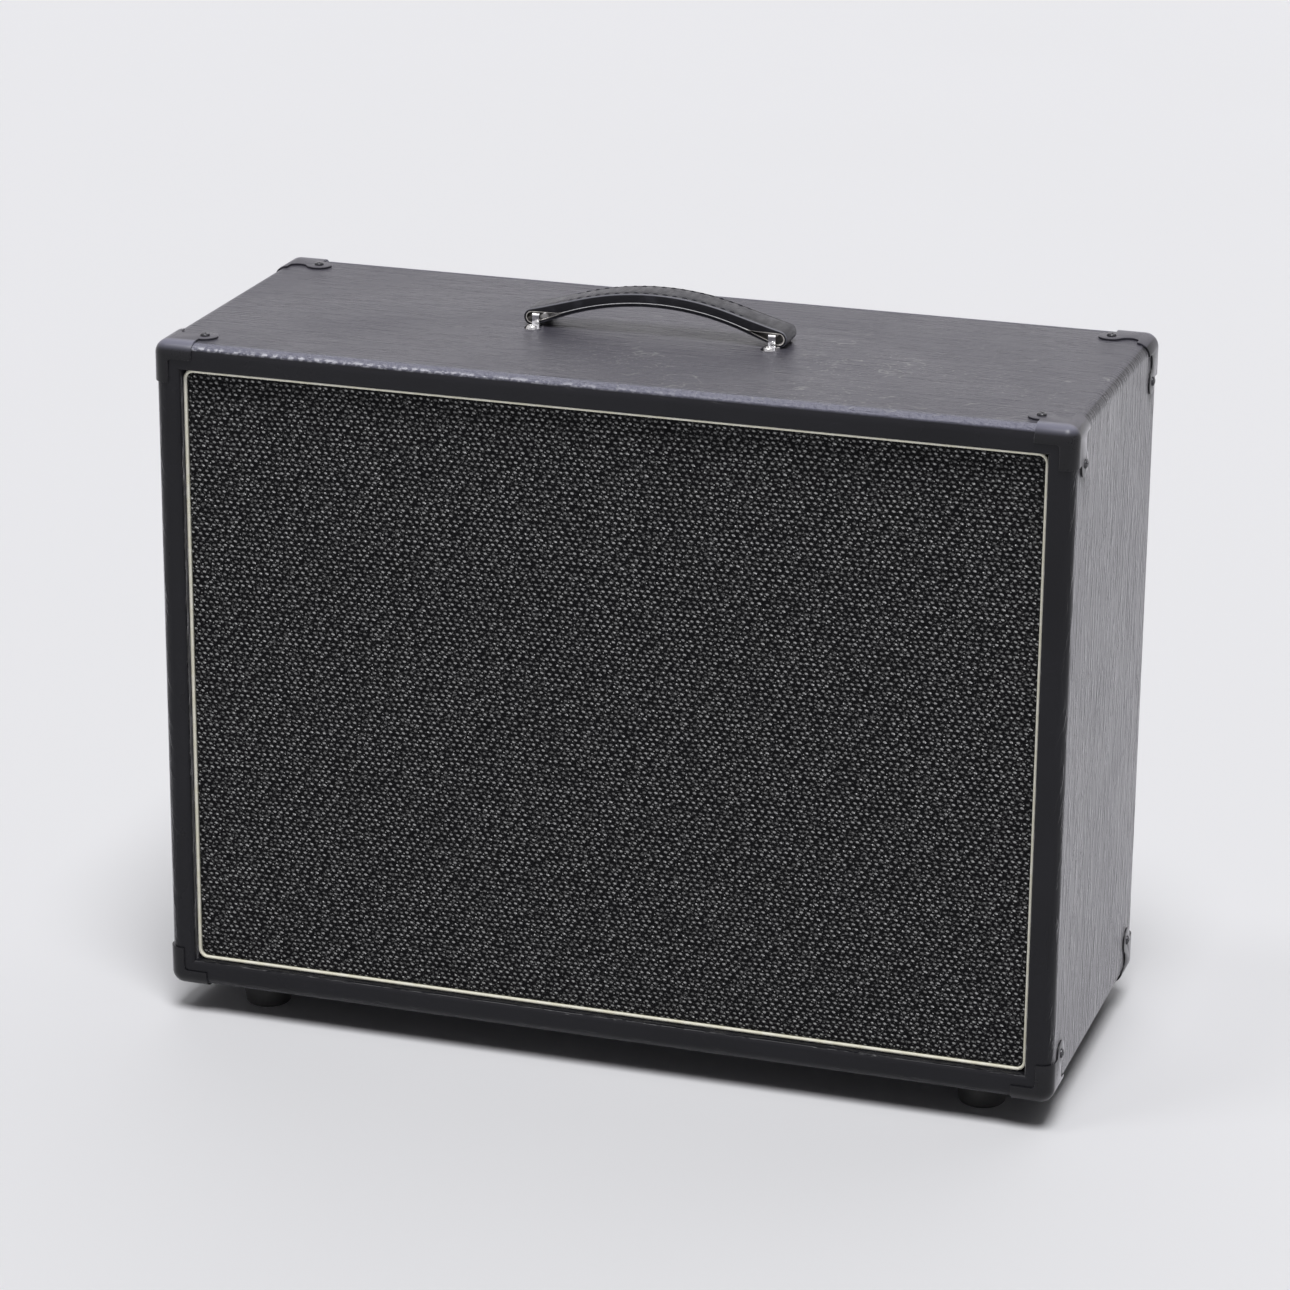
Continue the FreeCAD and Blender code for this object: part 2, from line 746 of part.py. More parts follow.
frame = new_body("GrilleFrame")
frame_sketch = new_sketch(frame, "XZ_Plane", f"0 - {BAFFLE_FACE}")
frame_x = f"({OPENING_X} - {FRAME_INSET})"
frame_z = f"({OPENING_Z} - {FRAME_INSET})"
frame_corner = "(piping_corner - piping_tail / 2 - piping_fit - cloth - cloth_fit)"
rounded_rectangle(frame_sketch, frame_x, frame_z, MIDDLE, frame_corner)
for x_sign in (-1, 1):
    near = f"{x_sign} * grille_post / 2"
    far = f"{x_sign} * ({frame_x} - grille_rail)"
    left, right = (near, far) if x_sign > 0 else (far, near)
    rectangle(
        frame_sketch,
        left,
        f"{MIDDLE} - ({frame_z} - grille_rail)",
        right,
        f"{MIDDLE} + ({frame_z} - grille_rail)",
    )
pad(frame, frame_sketch, "grille_frame")
piece("grille_frame", frame)

cloth = new_body("GrilleCloth")
cloth_sketch = new_sketch(cloth, "XZ_Plane", f"0 - {BAFFLE_FACE}")
cloth_corner = "(piping_corner - piping_tail / 2 - piping_fit)"
cloth_x = f"({OPENING_X} - {CLOTH_INSET})"
cloth_z = f"({OPENING_Z} - {CLOTH_INSET})"
rounded_rectangle(cloth_sketch, cloth_x, cloth_z, MIDDLE, cloth_corner)
pad(cloth, cloth_sketch, "cloth + grille_frame")
hollow_sketch = new_sketch(cloth, "XZ_Plane", f"0 - {FRAME_FACE}")
hollow_x = f"({frame_x} + cloth_fit)"
hollow_z = f"({frame_z} + cloth_fit)"
rounded_rectangle(hollow_sketch, hollow_x, hollow_z, MIDDLE, f"({frame_corner} + cloth_fit)")
pocket(cloth, hollow_sketch)
piece("grille_cloth", cloth)

piping = new_body("GrillePiping")
piping_x = f"({OPENING_X} - {PIPING_INSET})"
piping_z = f"({OPENING_Z} - {PIPING_INSET})"
piping_y = f"({CLOTH_FACE} - piping_rest - piping_diameter / 2)"
spine = new_sketch(piping, "XZ_Plane", f"0 - {piping_y}")
rounded_rectangle(spine, piping_x, piping_z, MIDDLE, "piping_corner")
bead_profile = new_sketch(piping, "YZ_Plane")
bead_edge = f"{MIDDLE} - {piping_z}"
tail_half = "piping_tail / 2"
tail_start = "sqrt(piping_diameter^2 - piping_tail^2) / 2"
outline(bead_profile, [
    (f"{piping_y} + {tail_start}", f"{bead_edge} - {tail_half}"),
    (f"{piping_y} + piping_tail_depth", f"{bead_edge} - {tail_half}"),
    (f"{piping_y} + piping_tail_depth", f"{bead_edge} + {tail_half}"),
    (f"{piping_y} + {tail_start}", f"{bead_edge} + {tail_half}", "piping_diameter / 2"),
    (f"{piping_y} - piping_diameter / 2", bead_edge, "piping_diameter / 2"),
])
bead = piping.newObject("PartDesign::AdditivePipe", "GrillePipingSweep")
bead.Profile = bead_profile
bead.Spine = spine
piece("grille_piping", piping)


# Corner protectors: a moulded shell over the rounded corner, cut to three lobes

def lobe_outline(sketch, turned_over):
    """An ear with a screw, a notch beside it and a tongue along the edge."""
    outside = f"(0 - {CORNER_SEAT} - corner_ear)"
    run_x = "(corner_valley_across - corner_screw_across)"
    run_y = "(corner_valley_back - corner_screw_back)"
    reach = f"sqrt({run_x}^2 + {run_y}^2)"
    valley = f"({reach} - corner_ear)"
    ear_start = "(corner_screw_back - sqrt(corner_ear^2 - (corner_arm - corner_screw_across)^2))"
    ear_end_x = f"corner_screw_across + corner_ear * {run_x} / {reach}"
    ear_end_y = f"corner_screw_back + corner_ear * {run_y} / {reach}"
    corners = [
        (outside, outside),
        ("corner_arm", outside),
        ("corner_arm", ear_start, "corner_ear"),
        ("corner_screw_across + corner_ear", "corner_screw_back", "corner_ear"),
        (ear_end_x, ear_end_y, f"0 - {valley}"),
        (f"corner_valley_across - {valley}", "corner_valley_back"),
        (f"corner_valley_across - {valley}", "corner_tongue"),
        (outside, "corner_tongue"),
    ]
    if turned_over:
        corners = [(corner[1], f"0 - ({corner[0]})", *corner[2:]) for corner in corners]
    outline(sketch, corners)


corner_low = f"(0 - {CORNER_SEAT} - corner_ear)"
corner_deep = "edge_radius"
top_lobe = new_body("TopLobe")
top_sketch = new_sketch(top_lobe, "XY_Plane", f"0 - {corner_deep}")
lobe_outline(top_sketch, False)
pad(top_lobe, top_sketch, f"{corner_deep} + {CORNER_SEAT} + corner_ear")

side_lobe = new_body("SideLobe")
side_sketch = new_sketch(side_lobe, "YZ_Plane", corner_low)
lobe_outline(side_sketch, True)
pad(side_lobe, side_sketch, f"{corner_deep} + {CORNER_SEAT} + corner_ear")

front_lobe = new_body("FrontLobe")
front_sketch = new_sketch(front_lobe, "XZ_Plane", f"0 - {corner_deep}")
outline(front_sketch, [
    (corner_low, "0 - corner_arm"),
    ("corner_arm_width", "0 - corner_arm"),
    ("corner_arm_width", "0 - corner_arm_width - corner_elbow", "0 - corner_elbow"),
    ("corner_arm_width + corner_elbow", "0 - corner_arm_width"),
    ("corner_arm", "0 - corner_arm_width"),
    ("corner_arm", f"0 - {corner_low}"),
    (corner_low, f"0 - {corner_low}"),
])
pad(front_lobe, front_sketch, f"{corner_deep} + {CORNER_SEAT} + corner_ear")
for lobe in (top_lobe, side_lobe, front_lobe):
    place(lobe, "0 - cabinet_width / 2", FRONT, TOP)

corner_outside = rounded_form("CornerOutside", CORNER_SEAT)
corner_inside = rounded_form("CornerInside", "corner_fit")
corner_shell = cut("CornerShell", corner_outside, corner_inside)
corner_lobes = fuse("CornerLobes", top_lobe, side_lobe, front_lobe)
corner_blank = combine("Common", "CornerBlank", corner_shell, corner_lobes)
corner = {"front_top_left": cut("CornerDrilled", corner_blank, corner_holes)}
corner["front_top_right"] = mirrored("CornerFTR", corner["front_top_left"], ACROSS)
for hand in ("left", "right"):
    front_corner = corner[f"front_top_{hand}"]
    corner[f"rear_top_{hand}"] = mirrored(f"CornerRearTop{hand}", front_corner, BACKWARD)
for place_name in ("front_top_left", "front_top_right", "rear_top_left", "rear_top_right"):
    low_name = place_name.replace("top", "bottom")
    corner[low_name] = mirrored(f"Corner{low_name}", corner[place_name], UP, MIDDLE)
for place_name, item in corner.items():
    piece(f"corner_{place_name}", item)


# Feet: tapered rubber, with the screw head in a deep recess

FOOT_HOLE = "(large_shank + screw_clearance)"
for label, (x, y) in FOOT_PLACES.items():
    foot = turned(label, [
        (FOOT_HOLE, "foot_recess"),
        ("foot_recess_radius", "foot_recess"),
        ("foot_recess_radius", "0"),
        ("foot_bottom - foot_round", "0", "foot_round"),
        ("foot_bottom", "foot_round"),
        ("foot_top", "foot_height"),
        (FOOT_HOLE, "foot_height"),
    ])
    piece(label, place(foot, x, y))


# Strap handle: leather round a spring steel core that ends in an eye at each side

ARCH_RISE = "(handle_apex - handle_rest - handle_thickness + handle_tuck)"
ARCH = f"((handle_reach^2 + {ARCH_RISE}^2) / (2 * {ARCH_RISE}))"
ARCH_CENTRE = f"(handle_apex - {ARCH})"
LOOP_HEIGHT = "(handle_rest + handle_loop)"
CORE_LOW = f"({ARCH} - handle_thickness + handle_lining)"
CORE_HIGH = f"({CORE_LOW} + handle_core)"
CORE_MID = f"({CORE_LOW} + handle_core / 2)"
CORE_END = "(handle_loop - handle_leather)"
EYE_RADIUS = f"({CORE_END} - handle_glue - handle_liner)"
BRACKET_HEIGHT = f"({LOOP_HEIGHT} + {EYE_RADIUS} - bracket_play)"


def strap_outline(sketch, end_radius, top_radius, bottom_radius):
    """Two round ends joined by tangent lines to a wide arch above and below."""
    reach = value("handle_reach")
    centre = FreeCAD.Vector(0, value(ARCH_CENTRE), 0)
    end = FreeCAD.Vector(reach, value(LOOP_HEIGHT), 0)
    gap = end - centre
    lean = math.atan2(gap.y, gap.x)
    small = value(end_radius)
    high = value(top_radius)
    low = value(bottom_radius)
    top_turn = lean + math.acos((high - small) / gap.Length)
    low_turn = lean + math.acos((low + small) / gap.Length)

    def ray(angle, length, start):
        return start + FreeCAD.Vector(math.cos(angle), math.sin(angle), 0) * length

    def flip(point):
        return FreeCAD.Vector(-point.x, point.y, 0)

    top_end = ray(top_turn, small, end)
    top_mid = ray(top_turn, high, centre)
    low_end = ray(low_turn, -small, end)
    low_mid = ray(low_turn, low, centre)
    far = ray(0, small, end)
    first = sketch.GeometryCount
    for shape in (
        Part.ArcOfCircle(low_end, far, top_end),
        Part.LineSegment(top_end, top_mid),
        Part.ArcOfCircle(top_mid, ray(math.pi / 2, high, centre), flip(top_mid)),
        Part.LineSegment(flip(top_mid), flip(top_end)),
        Part.ArcOfCircle(flip(top_end), flip(far), flip(low_end)),
        Part.LineSegment(flip(low_end), flip(low_mid)),
        Part.ArcOfCircle(low_mid, ray(math.pi / 2, low, centre), flip(low_mid)),
        Part.LineSegment(low_mid, low_end),
    ):
        sketch.addGeometry(shape, False)
    joints = (
        (0, 2, 1, 1), (1, 2, 2, 1), (2, 2, 3, 1), (3, 2, 4, 1),
        (4, 2, 5, 1), (5, 2, 6, 2), (6, 1, 7, 1), (7, 2, 0, 1),
    )
    for one, one_end, other, other_end in joints:
        joint = (first + one, one_end, first + other, other_end)
        sketch.addConstraint(Sketcher.Constraint("Tangent", *joint))
    for number, across, up, radius in (
        (0, "handle_reach", LOOP_HEIGHT, end_radius),
        (4, "0 - handle_reach", LOOP_HEIGHT, end_radius),
        (2, "0", ARCH_CENTRE, top_radius),
        (6, "0", ARCH_CENTRE, bottom_radius),
    ):
        fix_point(sketch, first + number, 3, across, up)
        fix(sketch, "Radius", (first + number,), radius)


def eye_outline(sketch, hand):
    """A teardrop hole in the end of the core, with its point towards the middle."""
    end = FreeCAD.Vector(hand * value("handle_reach"), value(LOOP_HEIGHT), 0)
    tip_across = f"{hand} * (handle_reach - handle_eye)"
    tip_up = f"({ARCH_CENTRE} + sqrt(({CORE_MID})^2 - (handle_reach - handle_eye)^2))"
    tip = FreeCAD.Vector(value(tip_across), value(tip_up), 0)
    size = value(EYE_RADIUS)
    back = tip - end
    heading = math.atan2(back.y, back.x)
    spread = math.acos(size / back.Length)

    def rim(angle):
        return end + FreeCAD.Vector(math.cos(angle), math.sin(angle), 0) * size

    after = rim(heading + spread)
    before = rim(heading - spread)
    first = sketch.GeometryCount
    sketch.addGeometry(Part.ArcOfCircle(after, rim(heading + math.pi), before), False)
    sketch.addGeometry(Part.LineSegment(before, tip), False)
    sketch.addGeometry(Part.LineSegment(tip, after), False)
    sketch.addConstraint(Sketcher.Constraint("Tangent", first, 2, first + 1, 1))
    sketch.addConstraint(Sketcher.Constraint("Tangent", first + 2, 2, first, 1))
    sketch.addConstraint(Sketcher.Constraint("Coincident", first + 1, 2, first + 2, 1))
    fix_point(sketch, first, 3, f"{hand} * handle_reach", LOOP_HEIGHT)
    fix_point(sketch, first + 1, 2, tip_across, tip_up)
    fix(sketch, "Radius", (first,), EYE_RADIUS)


strap = new_body("HandleStrap")
strap_sketch = new_sketch(strap, "XZ_Plane", "0 - handle_width / 2")
strap_outline(strap_sketch, "handle_loop", ARCH, f"{ARCH} - handle_thickness")
strap_pad = pad(strap, strap_sketch, "handle_width")
round_edges(strap, strap_pad, "handle_round", lambda edge: edge.BoundBox.YLength < edge.Length / 2)
channel_sketch = new_sketch(strap, "XZ_Plane", "handle_width / 2")
strap_outline(channel_sketch, CORE_END, CORE_HIGH, CORE_LOW)
pocket(strap, channel_sketch)
piece("handle_strap", place(strap, "handle_across", "handle_back", TOP))

core = new_body("HandleCore")
core_sketch = new_sketch(core, "XZ_Plane", "handle_glue - handle_width / 2")
strap_outline(
    core_sketch,
    f"{CORE_END} - handle_glue",
    f"{CORE_HIGH} - handle_glue",
    f"{CORE_LOW} + handle_glue",
)
for hand in (-1, 1):
    eye_outline(core_sketch, hand)
pad(core, core_sketch, "handle_width - 2 * handle_glue")
piece("handle_core", place(core, "handle_across", "handle_back", TOP))


# Handle brackets: a strip bent up, over through the eye and down again, on two round-ended feet

def bracket(name, hand):
    body = new_body(name)
    leg = f"({BRACKET_LEG} + bracket_sheet)"
    strip = new_sketch(body, "YZ_Plane", "0 - bracket_strip / 2")
    outline(strip, [
        (f"0 - {leg}", "0"),
        (f"0 - {BRACKET_LEG}", "0"),
        (f"0 - {BRACKET_LEG}", f"{BRACKET_HEIGHT} - bracket_sheet"),
        (BRACKET_LEG, f"{BRACKET_HEIGHT} - bracket_sheet"),
        (BRACKET_LEG, "0"),
        (leg, "0"),
        (leg, BRACKET_HEIGHT),
        (f"0 - {leg}", BRACKET_HEIGHT),
    ])
    strip_pad = pad(body, strip, "bracket_strip")
    top = value(BRACKET_HEIGHT)

    def outer_bend(edge):
        box = edge.BoundBox
        return box.XLength > HAIR and abs(box.ZMin - top) < HAIR and abs(box.ZMax - top) < HAIR

    round_edges(body, strip_pad, "bracket_bend", outer_bend)
    feet = new_sketch(body, "XY_Plane")
    half = "bracket_foot_width / 2"
    for y_sign in (-1, 1):
        far = f"{y_sign} * {BRACKET_SCREW}"
        near = f"{y_sign} * ({BRACKET_LEG} + bracket_sheet / 2)"
        outline(feet, [
            (f"{-y_sign} * {half}", near),
            (f"{y_sign} * {half}", near),
            (f"{y_sign} * {half}", far, half),
            ("0", f"{y_sign} * ({BRACKET_SCREW} + {half})", half),
            (f"{-y_sign} * {half}", far),
        ])
        circle(feet, "0", far, "small_shank + screw_clearance")
    pad(body, feet, "bracket_sheet")
    return place(body, f"handle_across + {hand} * {BRACKET_X}", "handle_back", TOP)


piece("handle_bracket_left", bracket("BracketLeft", -1))
piece("handle_bracket_right", bracket("BracketRight", 1))


# Jack plate with two sockets

plate = new_body("JackPlate")
plate_sketch = new_sketch(plate, "XZ_Plane", f"0 - ({REAR_FACE} + jack_plate)")
plate_x = "jack_plate_width / 2"
plate_z = "jack_plate_height / 2"
rounded_rectangle(plate_sketch, plate_x, plate_z, MIDDLE, "jack_plate_corner")
for x_sign in (-1, 1):
    circle(plate_sketch, f"{x_sign} * jack_spacing / 2", MIDDLE, "jack_bush + jack_fit")
    for z_sign in (-1, 1):
        hole_up = f"{MIDDLE} + {z_sign} * {JACK_SCREW_Z}"
        circle(plate_sketch, f"{x_sign} * {JACK_SCREW_X}", hole_up, "small_shank + screw_clearance")
pad(plate, plate_sketch, "jack_plate")
piece("jack_plate", plate)


def jack_socket(name, x):
    """A moulded body behind the plate, with a threaded bush through it and a plug bore."""
    half = "jack_body / 2"
    start = f"{REAR_FACE} - jack_body_depth"
    case = block(
        f"{name}Case",
        (f"{x} - {half}", start, f"{MIDDLE} - {half}"),
        (f"{x} + {half}", REAR_FACE, f"{MIDDLE} + {half}"),
    )
    bush_length = "jack_plate + jack_bush_length"
    bush = rod(f"{name}Bush", "jack_bush", bush_length, x, REAR_FACE, MIDDLE, BACKWARD)
    depth = f"jack_body_depth + {bush_length}"
    plug_bore = rod(f"{name}Bore", "jack_bore", depth, x, f"{start} + jack_bush", MIDDLE, BACKWARD)
    return cut(name, fuse(f"{name}Solid", case, bush), plug_bore)


def jack_nut(name, x):
    nut = doc.addObject("Part::Prism", name)
    nut.Polygon = 6
    nut.setExpression("Circumradius", bound("jack_nut"))
    nut.setExpression("Height", bound("jack_nut_height"))
    nut.Placement = FreeCAD.Placement(FreeCAD.Vector(), FreeCAD.Rotation(UP, BACKWARD))
    seat = f"{REAR_FACE} + jack_plate"
    place(nut, x, seat, MIDDLE)
    hole = rod(f"{name}Hole", "jack_bush + jack_fit", "jack_nut_height", x, seat, MIDDLE, BACKWARD)
    return cut(name, nut, hole)


piece("jack_socket_left", jack_socket("JackLeft", "0 - jack_spacing / 2"))
piece("jack_socket_right", jack_socket("JackRight", "jack_spacing / 2"))
left_nut = jack_nut("NutLeft", "0 - jack_spacing / 2")
right_nut = jack_nut("NutRight", "jack_spacing / 2")
piece("jack_nuts", group("JackNuts", left_nut, right_nut))


# Loudspeakers: each part is turned about its own axis, with zero at the back of the baffle

THROAT = f"({CUTOUT_RADIUS} - throat_inset)"
CONE_RADIUS = f"({THROAT} - cone_inset)"
SEAT = "(0 - gasket)"
CONE_EDGE = f"({SEAT} - moving_gap)"
NECK = f"({CONE_EDGE} - cone_depth)"
LANDING = f"({NECK} - spider_drop)"
CUP = f"({LANDING} - cup_step)"
CUP_BACK = f"({CUP} - flange)"
PLATE_BACK = f"({CUP_BACK} - plate_thickness)"
MAGNET_BACK = f"({PLATE_BACK} - magnet_thickness)"
YOKE_BACK = f"({MAGNET_BACK} - plate_thickness)"
NECK_RADIUS = "(coil_radius + cone_glue)"
CONE_MOUTH = f"({CONE_RADIUS} - cone_lip)"
CONE_SLOPE = f"(cone_depth / ({CONE_MOUTH} - {NECK_RADIUS}))"
CAP_SEAT = f"({NECK} + (cap_radius - {NECK_RADIUS}) * {CONE_SLOPE} + cone_glue)"
CAP_BALL = "((cap_radius^2 + cap_rise^2) / (2 * cap_rise))"
COIL_MIDDLE = f"({CUP_BACK} - plate_thickness / 2)"
POLE_RADIUS = "(coil_radius - former_paper - gap_width)"
PLATE_BORE = "(coil_radius + coil_wire + gap_width)"


def basket(name):
    """Stamped frame: flange, sloping arms between windows, spider landing and cup."""
    cup_bore = "(coil_radius + coil_wire + cup_gap)"
    body = turned(name, [
        (FLANGE_RADIUS, SEAT),
        (THROAT, SEAT),
        ("landing_outer", LANDING),
        ("landing_inner", LANDING),
        ("landing_inner", CUP),
        (cup_bore, CUP),
        (cup_bore, CUP_BACK),
        ("landing_inner + flange", CUP_BACK),
        ("landing_inner + flange", f"{LANDING} - flange"),
        ("landing_outer + flange", f"{LANDING} - flange"),
        (f"{THROAT} + flange", f"{SEAT} - flange"),
        (FLANGE_RADIUS, f"{SEAT} - flange"),
    ])
    window = new_sketch(body, "XY_Plane")
    far = f"({THROAT} - window_inset)"
    near = "(landing_outer + window_inset)"
    across = "cos(window_angle / 2 * 1 deg)"
    along = "sin(window_angle / 2 * 1 deg)"
    outline(window, [
        (f"{near} * {across}", f"0 - {near} * {along}"),
        (f"{far} * {across}", f"0 - {far} * {along}", far),
        (f"{far} * {across}", f"{far} * {along}"),
        (f"{near} * {across}", f"{near} * {along}", f"0 - {near}"),
    ])
    ring_of(body, pocket(body, window), "window_count")
    holes = new_sketch(body, "XY_Plane")
    for x, y in BOLT_PLACES:
        circle(holes, x, y, "large_shank + screw_clearance")
    pocket(body, holes)
    return body


def gasket_ring(name):
    body = new_body(name)
    sketch = new_sketch(body, "XY_Plane", SEAT)
    circle(sketch, "0", "0", f"{FLANGE_RADIUS} - gasket_inset")
    circle(sketch, "0", "0", f"{CUTOUT_RADIUS} + gasket_lip")
    for x, y in BOLT_PLACES:
        circle(sketch, x, y, "large_shank + screw_clearance")
    pad(body, sketch, "gasket")
    return body


def wavy_ring(name, outer, inner, roll_outer, roll_inner, rolls, roll_radius, height, thickness):
    """A thin flexible ring with flat rims and rolls between them."""
    step = f"(({roll_outer}) - ({roll_inner})) / {rolls}"
    upper = [(outer, f"{height} + {thickness}")]
    lower = []
    for number in range(rolls):
        at = f"({roll_outer}) - {number} * {step}"
        after = f"({roll_outer}) - {number + 1} * {step}"
        turn = 1 if number % 2 == 0 else -1
        upper.append((at, f"{height} + {thickness}", f"{turn} * ({roll_radius})"))
        lower.insert(0, (after, height, f"{-turn} * ({roll_radius})"))
    upper.append((roll_inner, f"{height} + {thickness}"))
    upper.append((inner, f"{height} + {thickness}"))
    lower.insert(0, (inner, height))
    lower.append((roll_outer, height))
    lower.append((outer, height))
    return turned(name, upper + lower)


def cone_paper(name):
    return turned(name, [
        (CONE_RADIUS, CONE_EDGE),
        (CONE_MOUTH, CONE_EDGE),
        (NECK_RADIUS, NECK),
        (NECK_RADIUS, f"{NECK} - cone_paper"),
        (CONE_MOUTH, f"{CONE_EDGE} - cone_paper"),
        (CONE_RADIUS, f"{CONE_EDGE} - cone_paper"),
    ])


def dust_cap(name):
    inner_edge = f"sqrt(({CAP_BALL} - cap_paper)^2 - ({CAP_BALL} - cap_rise)^2)"
    return turned(name, [
        ("cap_radius", CAP_SEAT, CAP_BALL),
        ("0", f"{CAP_SEAT} + cap_rise"),
        ("0", f"{CAP_SEAT} + cap_rise - cap_paper", f"0 - ({CAP_BALL} - cap_paper)"),
        (inner_edge, CAP_SEAT),
    ])


def voice_coil(name):
    bottom = f"{COIL_MIDDLE} - coil_length / 2"
    top = f"{COIL_MIDDLE} + coil_length / 2"
    wound = "coil_radius + coil_wire"
    return turned(name, [
        ("coil_radius - former_paper", NECK),
        ("coil_radius", NECK),
        ("coil_radius", top),
        (wound, top),
        (wound, bottom),
        ("coil_radius", bottom),
        ("coil_radius", f"{bottom} - former_paper"),
        ("coil_radius - former_paper", f"{bottom} - former_paper"),
    ])


def top_plate(name):
    return turned(name, [
        (PLATE_BORE, CUP_BACK),
        ("plate_radius", CUP_BACK),
        ("plate_radius", PLATE_BACK),
        (PLATE_BORE, PLATE_BACK),
    ])


def magnet_ring(name):
    return turned(name, [
        ("magnet_bore", PLATE_BACK),
        ("magnet_radius - plate_chamfer", PLATE_BACK),
        ("magnet_radius", f"{PLATE_BACK} - plate_chamfer"),
        ("magnet_radius", f"{MAGNET_BACK} + plate_chamfer"),
        ("magnet_radius - plate_chamfer", MAGNET_BACK),
        ("magnet_bore", MAGNET_BACK),
    ])


def yoke(name):
    """Back plate and vented pole in one forging."""
    return turned(name, [
        ("vent_radius", CUP_BACK),
        (POLE_RADIUS, CUP_BACK),
        (POLE_RADIUS, MAGNET_BACK),
        ("plate_radius", MAGNET_BACK),
        ("plate_radius", f"{YOKE_BACK} + plate_chamfer"),
        ("plate_radius - plate_chamfer", YOKE_BACK),
        ("vent_radius", YOKE_BACK),
    ])


FACING_FRONT = FreeCAD.Rotation(ACROSS, 90)
SURROUND_ROLLS = 2
SPIDER_ROLLS = 6
roll_outer = f"{THROAT} + surround_roll_over"
surround_roll = f"(({roll_outer}) - {CONE_RADIUS}) / {SURROUND_ROLLS} * surround_bulge"
for hand, x_sign in (("left", -1), ("right", 1)):
    title = hand.capitalize()
    surround = wavy_ring(
        f"{title}Surround", f"{THROAT} + surround_rim", f"{CONE_RADIUS} - surround_overlap",
        roll_outer, CONE_RADIUS, SURROUND_ROLLS, surround_roll, SEAT, "surround_cloth",
    )
    spider_inner = "coil_radius + moving_gap"
    spider_start = f"{spider_inner} + spider_roll / 2"
    spider = wavy_ring(
        f"{title}Spider", "landing_outer - moving_gap", spider_inner, "landing_inner", spider_start,
        SPIDER_ROLLS, "spider_roll", LANDING, "spider_cloth",
    )
    parts = {
        "basket": basket(f"{title}Basket"),
        "gasket": gasket_ring(f"{title}Gasket"),
        "surround": surround,
        "cone": cone_paper(f"{title}Cone"),
        "dust_cap": dust_cap(f"{title}DustCap"),
        "voice_coil": voice_coil(f"{title}VoiceCoil"),
        "spider": spider,
        "top_plate": top_plate(f"{title}TopPlate"),
        "magnet": magnet_ring(f"{title}Magnet"),
        "yoke": yoke(f"{title}Yoke"),
    }
    for part_name, body in parts.items():
        body.Placement = FreeCAD.Placement(FreeCAD.Vector(), FACING_FRONT)
        place(body, f"{x_sign} * {SPEAKER_X}", BAFFLE_BACK, MIDDLE)
        piece(f"{hand}_speaker_{part_name}", body)


# Terminal strips on the backs of the baskets

TAG_Y = f"({BAFFLE_BACK} - ({LANDING}) + flange)"
TAG_ROOT = f"({SPEAKER_X} - landing_inner - flange - tag_fit)"
TAG_TIP = f"({TAG_ROOT} - tag_reach)"
tags = []
for x_sign in (-1, 1):
    tag_left = f"0 - {TAG_ROOT}" if x_sign < 0 else TAG_TIP
    tags.append(block(
        f"Tag{x_sign + 1}",
        (tag_left, TAG_Y, f"{MIDDLE} - tag_width / 2"),
        (f"{tag_left} + tag_reach", f"{TAG_Y} + tag_thickness", f"{MIDDLE} + tag_width / 2"),
    ))
piece("speaker_terminals", group("SpeakerTerminals", *tags))


# Check every object, then write each piece

doc.recompute()
for item in doc.Objects:
    if {"Invalid", "Error"} & set(item.State):
        raise RuntimeError(f"{item.Label} failed: {item.State}")
for item in PIECES:
    if item.Shape.isNull() or not item.Shape.isValid() or not item.Shape.Solids:
        raise RuntimeError(f"{item.Label} has no valid solid")
os.makedirs("parts", exist_ok=True)
for item in PIECES:
    item.Shape.exportStep(f"parts/{item.Label}.step")
    print(f"{item.Label}: {len(item.Shape.Solids)} solids, {item.Shape.Volume:.0f} mm3")
print(f"{len(PIECES)} pieces")
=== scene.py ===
import json
import math
import random

import bmesh
import bpy
from mathutils import Matrix, Vector, noise


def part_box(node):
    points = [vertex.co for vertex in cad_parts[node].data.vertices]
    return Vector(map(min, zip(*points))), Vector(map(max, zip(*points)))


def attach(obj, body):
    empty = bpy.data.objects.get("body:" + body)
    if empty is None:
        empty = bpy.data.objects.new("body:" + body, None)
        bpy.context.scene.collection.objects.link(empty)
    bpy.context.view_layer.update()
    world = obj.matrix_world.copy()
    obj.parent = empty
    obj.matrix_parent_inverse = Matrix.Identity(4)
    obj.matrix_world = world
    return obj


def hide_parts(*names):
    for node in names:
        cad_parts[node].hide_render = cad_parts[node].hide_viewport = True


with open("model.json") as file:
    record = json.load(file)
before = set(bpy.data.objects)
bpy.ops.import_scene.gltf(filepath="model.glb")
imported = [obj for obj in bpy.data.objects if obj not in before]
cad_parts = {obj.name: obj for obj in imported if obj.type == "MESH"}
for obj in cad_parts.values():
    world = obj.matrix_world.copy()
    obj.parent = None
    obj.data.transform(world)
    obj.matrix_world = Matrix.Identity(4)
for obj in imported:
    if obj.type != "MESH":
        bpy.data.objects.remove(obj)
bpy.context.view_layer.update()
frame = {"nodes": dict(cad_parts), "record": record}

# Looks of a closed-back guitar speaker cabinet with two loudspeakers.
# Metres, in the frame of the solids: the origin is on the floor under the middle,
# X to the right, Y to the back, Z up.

SCENE = bpy.context.scene
MM = 0.001
QUARTER_TURN = math.pi / 2
FULL_TURN = 2 * math.pi

